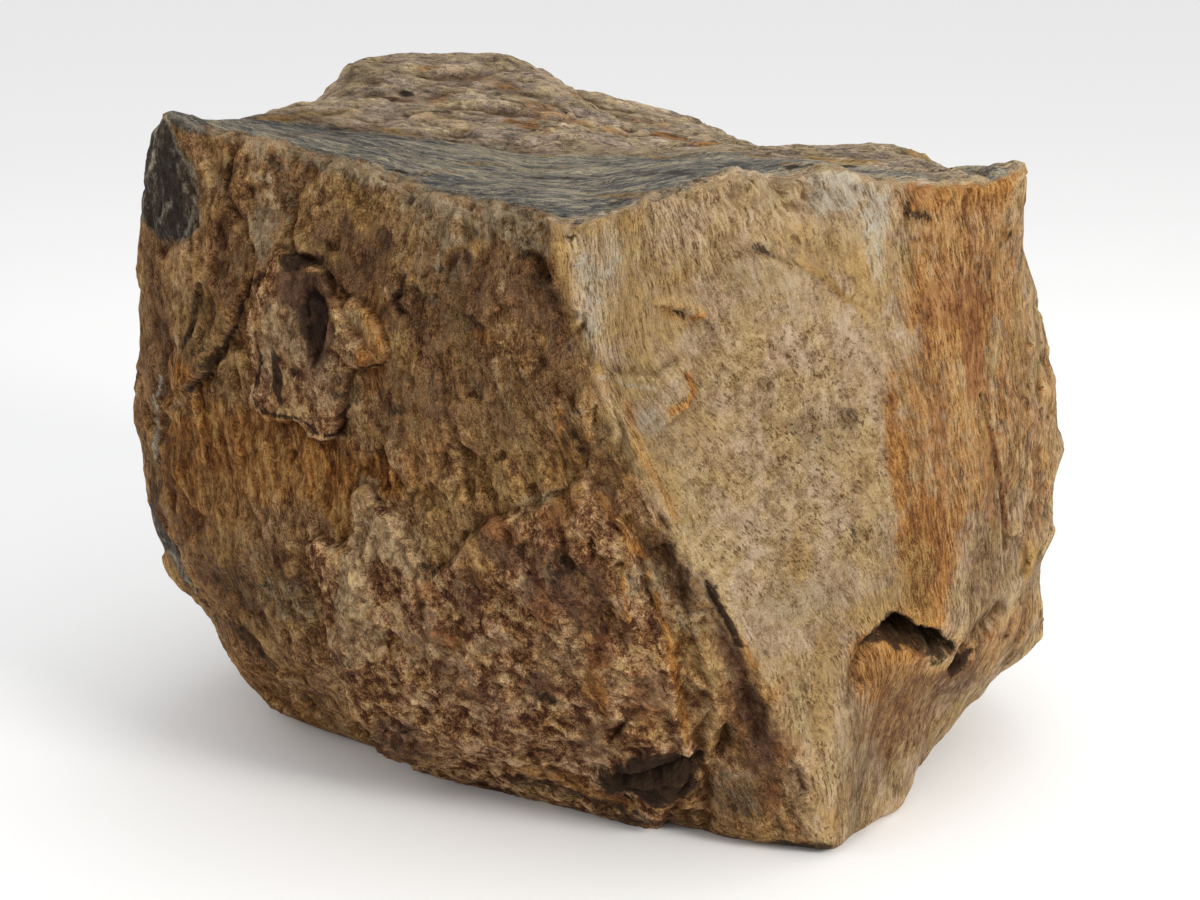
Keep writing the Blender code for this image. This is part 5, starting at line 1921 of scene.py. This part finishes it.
@dataclass
class GrainRelief:
    """Geometry nodes that raise the fibres, flakes, scales and knobs of the stone on its skin."""

    fibre_depth: float = 0.0016
    flake_depth: float = 0.0020
    scale_depth: float = 0.0018
    knob_depth: float = 0.0024
    seed: float = 4.0

    def inputs(self) -> dict[str, float]:
        """The tree's inputs by name."""
        return {
            "Fibre Depth": self.fibre_depth,
            "Flake Depth": self.flake_depth,
            "Scale Depth": self.scale_depth,
            "Knob Depth": self.knob_depth,
            "Seed": self.seed,
        }

    def tree(self) -> bpy.types.NodeTree:
        """Builds the node tree.

        Returns:
            The tree.
        """
        tree = bpy.data.node_groups.new("stone_grain_relief", "GeometryNodeTree")
        tree.interface.new_socket("Geometry", in_out="INPUT", socket_type="NodeSocketGeometry")
        for name, value in self.inputs().items():
            socket = tree.interface.new_socket(name, in_out="INPUT", socket_type="NodeSocketFloat")
            socket.default_value = value
        tree.interface.new_socket("Material", in_out="INPUT", socket_type="NodeSocketMaterial")
        tree.interface.new_socket("Geometry", in_out="OUTPUT", socket_type="NodeSocketGeometry")
        wiring = Wiring(tree)
        given = wiring.node("NodeGroupInput").outputs
        scale = wiring.node("ShaderNodeVectorMath", operation="SCALE")
        wiring.feed(scale.inputs[0], wiring.node("GeometryNodeInputNormal").outputs[0])
        wiring.feed(scale.inputs["Scale"], self.height(wiring, given))
        move = wiring.node("GeometryNodeSetPosition")
        wiring.feed(move.inputs["Geometry"], given["Geometry"])
        wiring.feed(move.inputs["Offset"], scale.outputs[0])
        plain = wiring.fill(wiring.node("GeometryNodeRealizeInstances"), move.outputs[0])
        dress = wiring.node("GeometryNodeSetMaterial")
        wiring.feed(dress.inputs["Geometry"], plain)
        wiring.feed(dress.inputs["Material"], given["Material"])
        wiring.feed(wiring.node("NodeGroupOutput").inputs[0], dress.outputs[0])
        return tree

    def height(self, wiring: Wiring, given: bpy.types.NodeOutputs) -> Socket:
        """Adds up the fibres, flakes, scales and knobs, and lets them fade out at the bed.

        Args:
            wiring: the tree's wiring.
            given: the tree's inputs.

        Returns:
            The socket with the height in metres.
        """
        times = wiring.times
        drift = wiring.combine(given["Seed"], given["Seed"], given["Seed"])
        grain = wiring.join("ADD", self.named(wiring, "grain", "FLOAT_VECTOR"), drift)
        place = wiring.node("GeometryNodeInputPosition").outputs[0]
        fibres = wiring.noise(wiring.stretched(grain, (130.0, 13.0, 130.0)), 1.0, 3.0, 0.6)
        depth = times(given["Fibre Depth"], times(self.named(wiring, "fibrous"), 2.0))
        height = times(wiring.minus(fibres, 0.5), depth)
        for name, where, scales in (
            ("Flake Depth", "flaky", (75.0, 34.0, 75.0)),
            ("Scale Depth", "scaly", (75.0, 24.0, 150.0)),
        ):
            level = wiring.separate(wiring.cells(wiring.stretched(grain, scales))["Color"])[0]
            depth = times(given[name], self.named(wiring, where))
            height = wiring.plus(height, times(wiring.minus(level, 0.5), depth))
        lumps = times(wiring.minus(wiring.noise(place, 60.0, 4.0, 0.7), 0.5), 4.0)
        depth = times(given["Knob Depth"], self.named(wiring, "knobbly"))
        height = wiring.plus(height, times(lumps, depth))
        return times(height, wiring.grade(wiring.separate(place)[2], 0.004, 0.03))

    def named(self, wiring: Wiring, name: str, kind: str = "FLOAT") -> Socket:
        """Reads what is painted on the skin.

        Args:
            wiring: the tree's wiring.
            name: the attribute's name.
            kind: its type.

        Returns:
            The socket with the value.
        """
        node = wiring.node("GeometryNodeInputNamedAttribute", data_type=kind)
        node.inputs["Name"].default_value = name
        return node.outputs["Attribute"]

    def apply(self, rock: bpy.types.Object, material: bpy.types.Material) -> None:
        """Runs the tree on the rock and makes the result a plain mesh.

        Args:
            rock: the carved rock, with its painted masks.
            material: the stone.
        """
        modifier = rock.modifiers.new("grain_relief", "NODES")
        modifier.node_group = self.tree()
        values = {**self.inputs(), "Material": material}
        for item in modifier.node_group.interface.items_tree:
            if item.in_out == "INPUT" and item.name in values:
                modifier[item.identifier] = values[item.name]
        rock.data = evaluated(rock)
        rock.modifiers.remove(modifier)


# ---- The whole boulder, and the studio. ----


@dataclass
class Boulder:
    """The finished boulder. What lies within bed_snap of the bed belongs to it."""

    rock: Rock = field(default_factory=Rock)
    relief: GrainRelief = field(default_factory=GrainRelief)
    stone: StoneMaterial = field(default_factory=StoneMaterial)
    most_triangles: int = 195_000
    bed_snap: float = 0.0012

    def build(self) -> bpy.types.Object:
        """Carves, roughens, paints and thins the rock.

        Returns:
            The finished piece.
        """
        boulder, site, regions = self.rock.carved()
        LOG.info("carved skin: %d points", len(site.points))
        painter = Painter(boulder.data, site.base, site.normals, regions)
        painter.grain()
        painter.textures()
        self.relief.apply(boulder, self.stone.build())
        LOG.info("raised the grain")
        painter.mesh = boulder.data
        painter.form()
        painter.tones()
        self.thin(boulder)
        boulder.data.shade_smooth()
        LOG.info("finished stone: %d triangles", len(boulder.data.polygons))
        return boulder

    def thin(self, boulder: bpy.types.Object) -> None:
        """Leaves only the triangles that the relief needs, with the bed flat.

        Args:
            boulder: the rock at its full detail.
        """
        share = self.most_triangles / len(boulder.data.polygons)
        boulder.data = modified(boulder, "DECIMATE", ratio=share)
        points = points_of(boulder.data)
        points[points[:, 2] < self.bed_snap, 2] = 0.0
        move_points(boulder.data, points)


@dataclass(frozen=True)
class Lamp:
    """A soft square lamp: where it hangs, its side in metres, its power in watts and its colour."""

    name: str
    place: Point
    size: float
    power: float
    colour: Point

    def hang(self, target: Vector) -> None:
        """Hangs the lamp, pointed at the target.

        Args:
            target: what it lights.
        """
        lamp = bpy.data.lights.new(self.name, "AREA")
        lamp.size = self.size
        lamp.energy = self.power
        lamp.color = self.colour
        obj = placed(self.name, lamp)
        obj.location = self.place
        obj.rotation_euler = (target - Vector(self.place)).to_track_quat("-Z", "Y").to_euler()


@dataclass
class Studio:
    """A pale floor, soft lights and the camera."""

    target: Vector = field(default_factory=lambda: Vector((0.0, 0.0, 0.34)))
    elevation: float = math.radians(16.0)
    distance: float = 2.60
    lens: float = 70.0
    floor_reach: float = 30.0
    floor_colour: Colour = (0.93, 0.93, 0.93, 1.0)
    floor_roughness: float = 0.9
    daylight: float = 0.86
    lamps: tuple[Lamp, ...] = (
        Lamp("key", (2.6, -2.6, 2.1), 1.2, 112.0, (1.0, 0.97, 0.92)),
        Lamp("fill", (-3.0, -2.2, 1.6), 2.4, 16.0, (0.93, 0.96, 1.0)),
        Lamp("sky", (0.2, 0.9, 3.2), 2.2, 16.0, (0.96, 0.98, 1.0)),
    )

    def build(self) -> None:
        """Sets up the studio."""
        bpy.context.scene.view_settings.view_transform = "Standard"
        self.floor()
        self.camera()
        self.world()
        for lamp in self.lamps:
            lamp.hang(self.target)

    def floor(self) -> None:
        """Lays the pale floor."""
        mesh = bpy.data.meshes.new("floor")
        reach = self.floor_reach
        corners = [(-reach, -reach, 0), (reach, -reach, 0), (reach, reach, 0), (-reach, reach, 0)]
        mesh.from_pydata(corners, [], [(0, 1, 2, 3)])
        material = bpy.data.materials.new("pale_floor")
        material.use_nodes = True
        surface = material.node_tree.nodes["Principled BSDF"]
        surface.inputs["Base Color"].default_value = self.floor_colour
        surface.inputs["Roughness"].default_value = self.floor_roughness
        mesh.materials.append(material)
        placed("floor", mesh)

    def camera(self) -> None:
        """Places the camera."""
        camera = placed("camera", bpy.data.cameras.new("camera"))
        camera.data.lens = self.lens
        back = Vector((0.0, -math.cos(self.elevation), math.sin(self.elevation)))
        camera.location = self.target + back * self.distance
        camera.rotation_euler = (-back).to_track_quat("-Z", "Y").to_euler()
        bpy.context.scene.camera = camera

    def world(self) -> None:
        """Lights the scene evenly from all round."""
        world = bpy.data.worlds.new("studio")
        world.use_nodes = True
        background = world.node_tree.nodes["Background"]
        background.inputs["Color"].default_value = (1.0, 1.0, 1.0, 1.0)
        background.inputs["Strength"].default_value = self.daylight
        bpy.context.scene.world = world


def main() -> None:
    """Builds the boulder and the studio."""
    logging.basicConfig(level=logging.INFO, format="%(name)s: %(message)s")
    noise.seed_set(NOISE_SEED)
    boulder = Boulder().build()
    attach(boulder, "root")
    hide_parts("boulder")
    LOG.info("built %s", boulder.name)
    Studio().build()
    LOG.info("set up the studio")


if __name__ == "__main__":
    main()
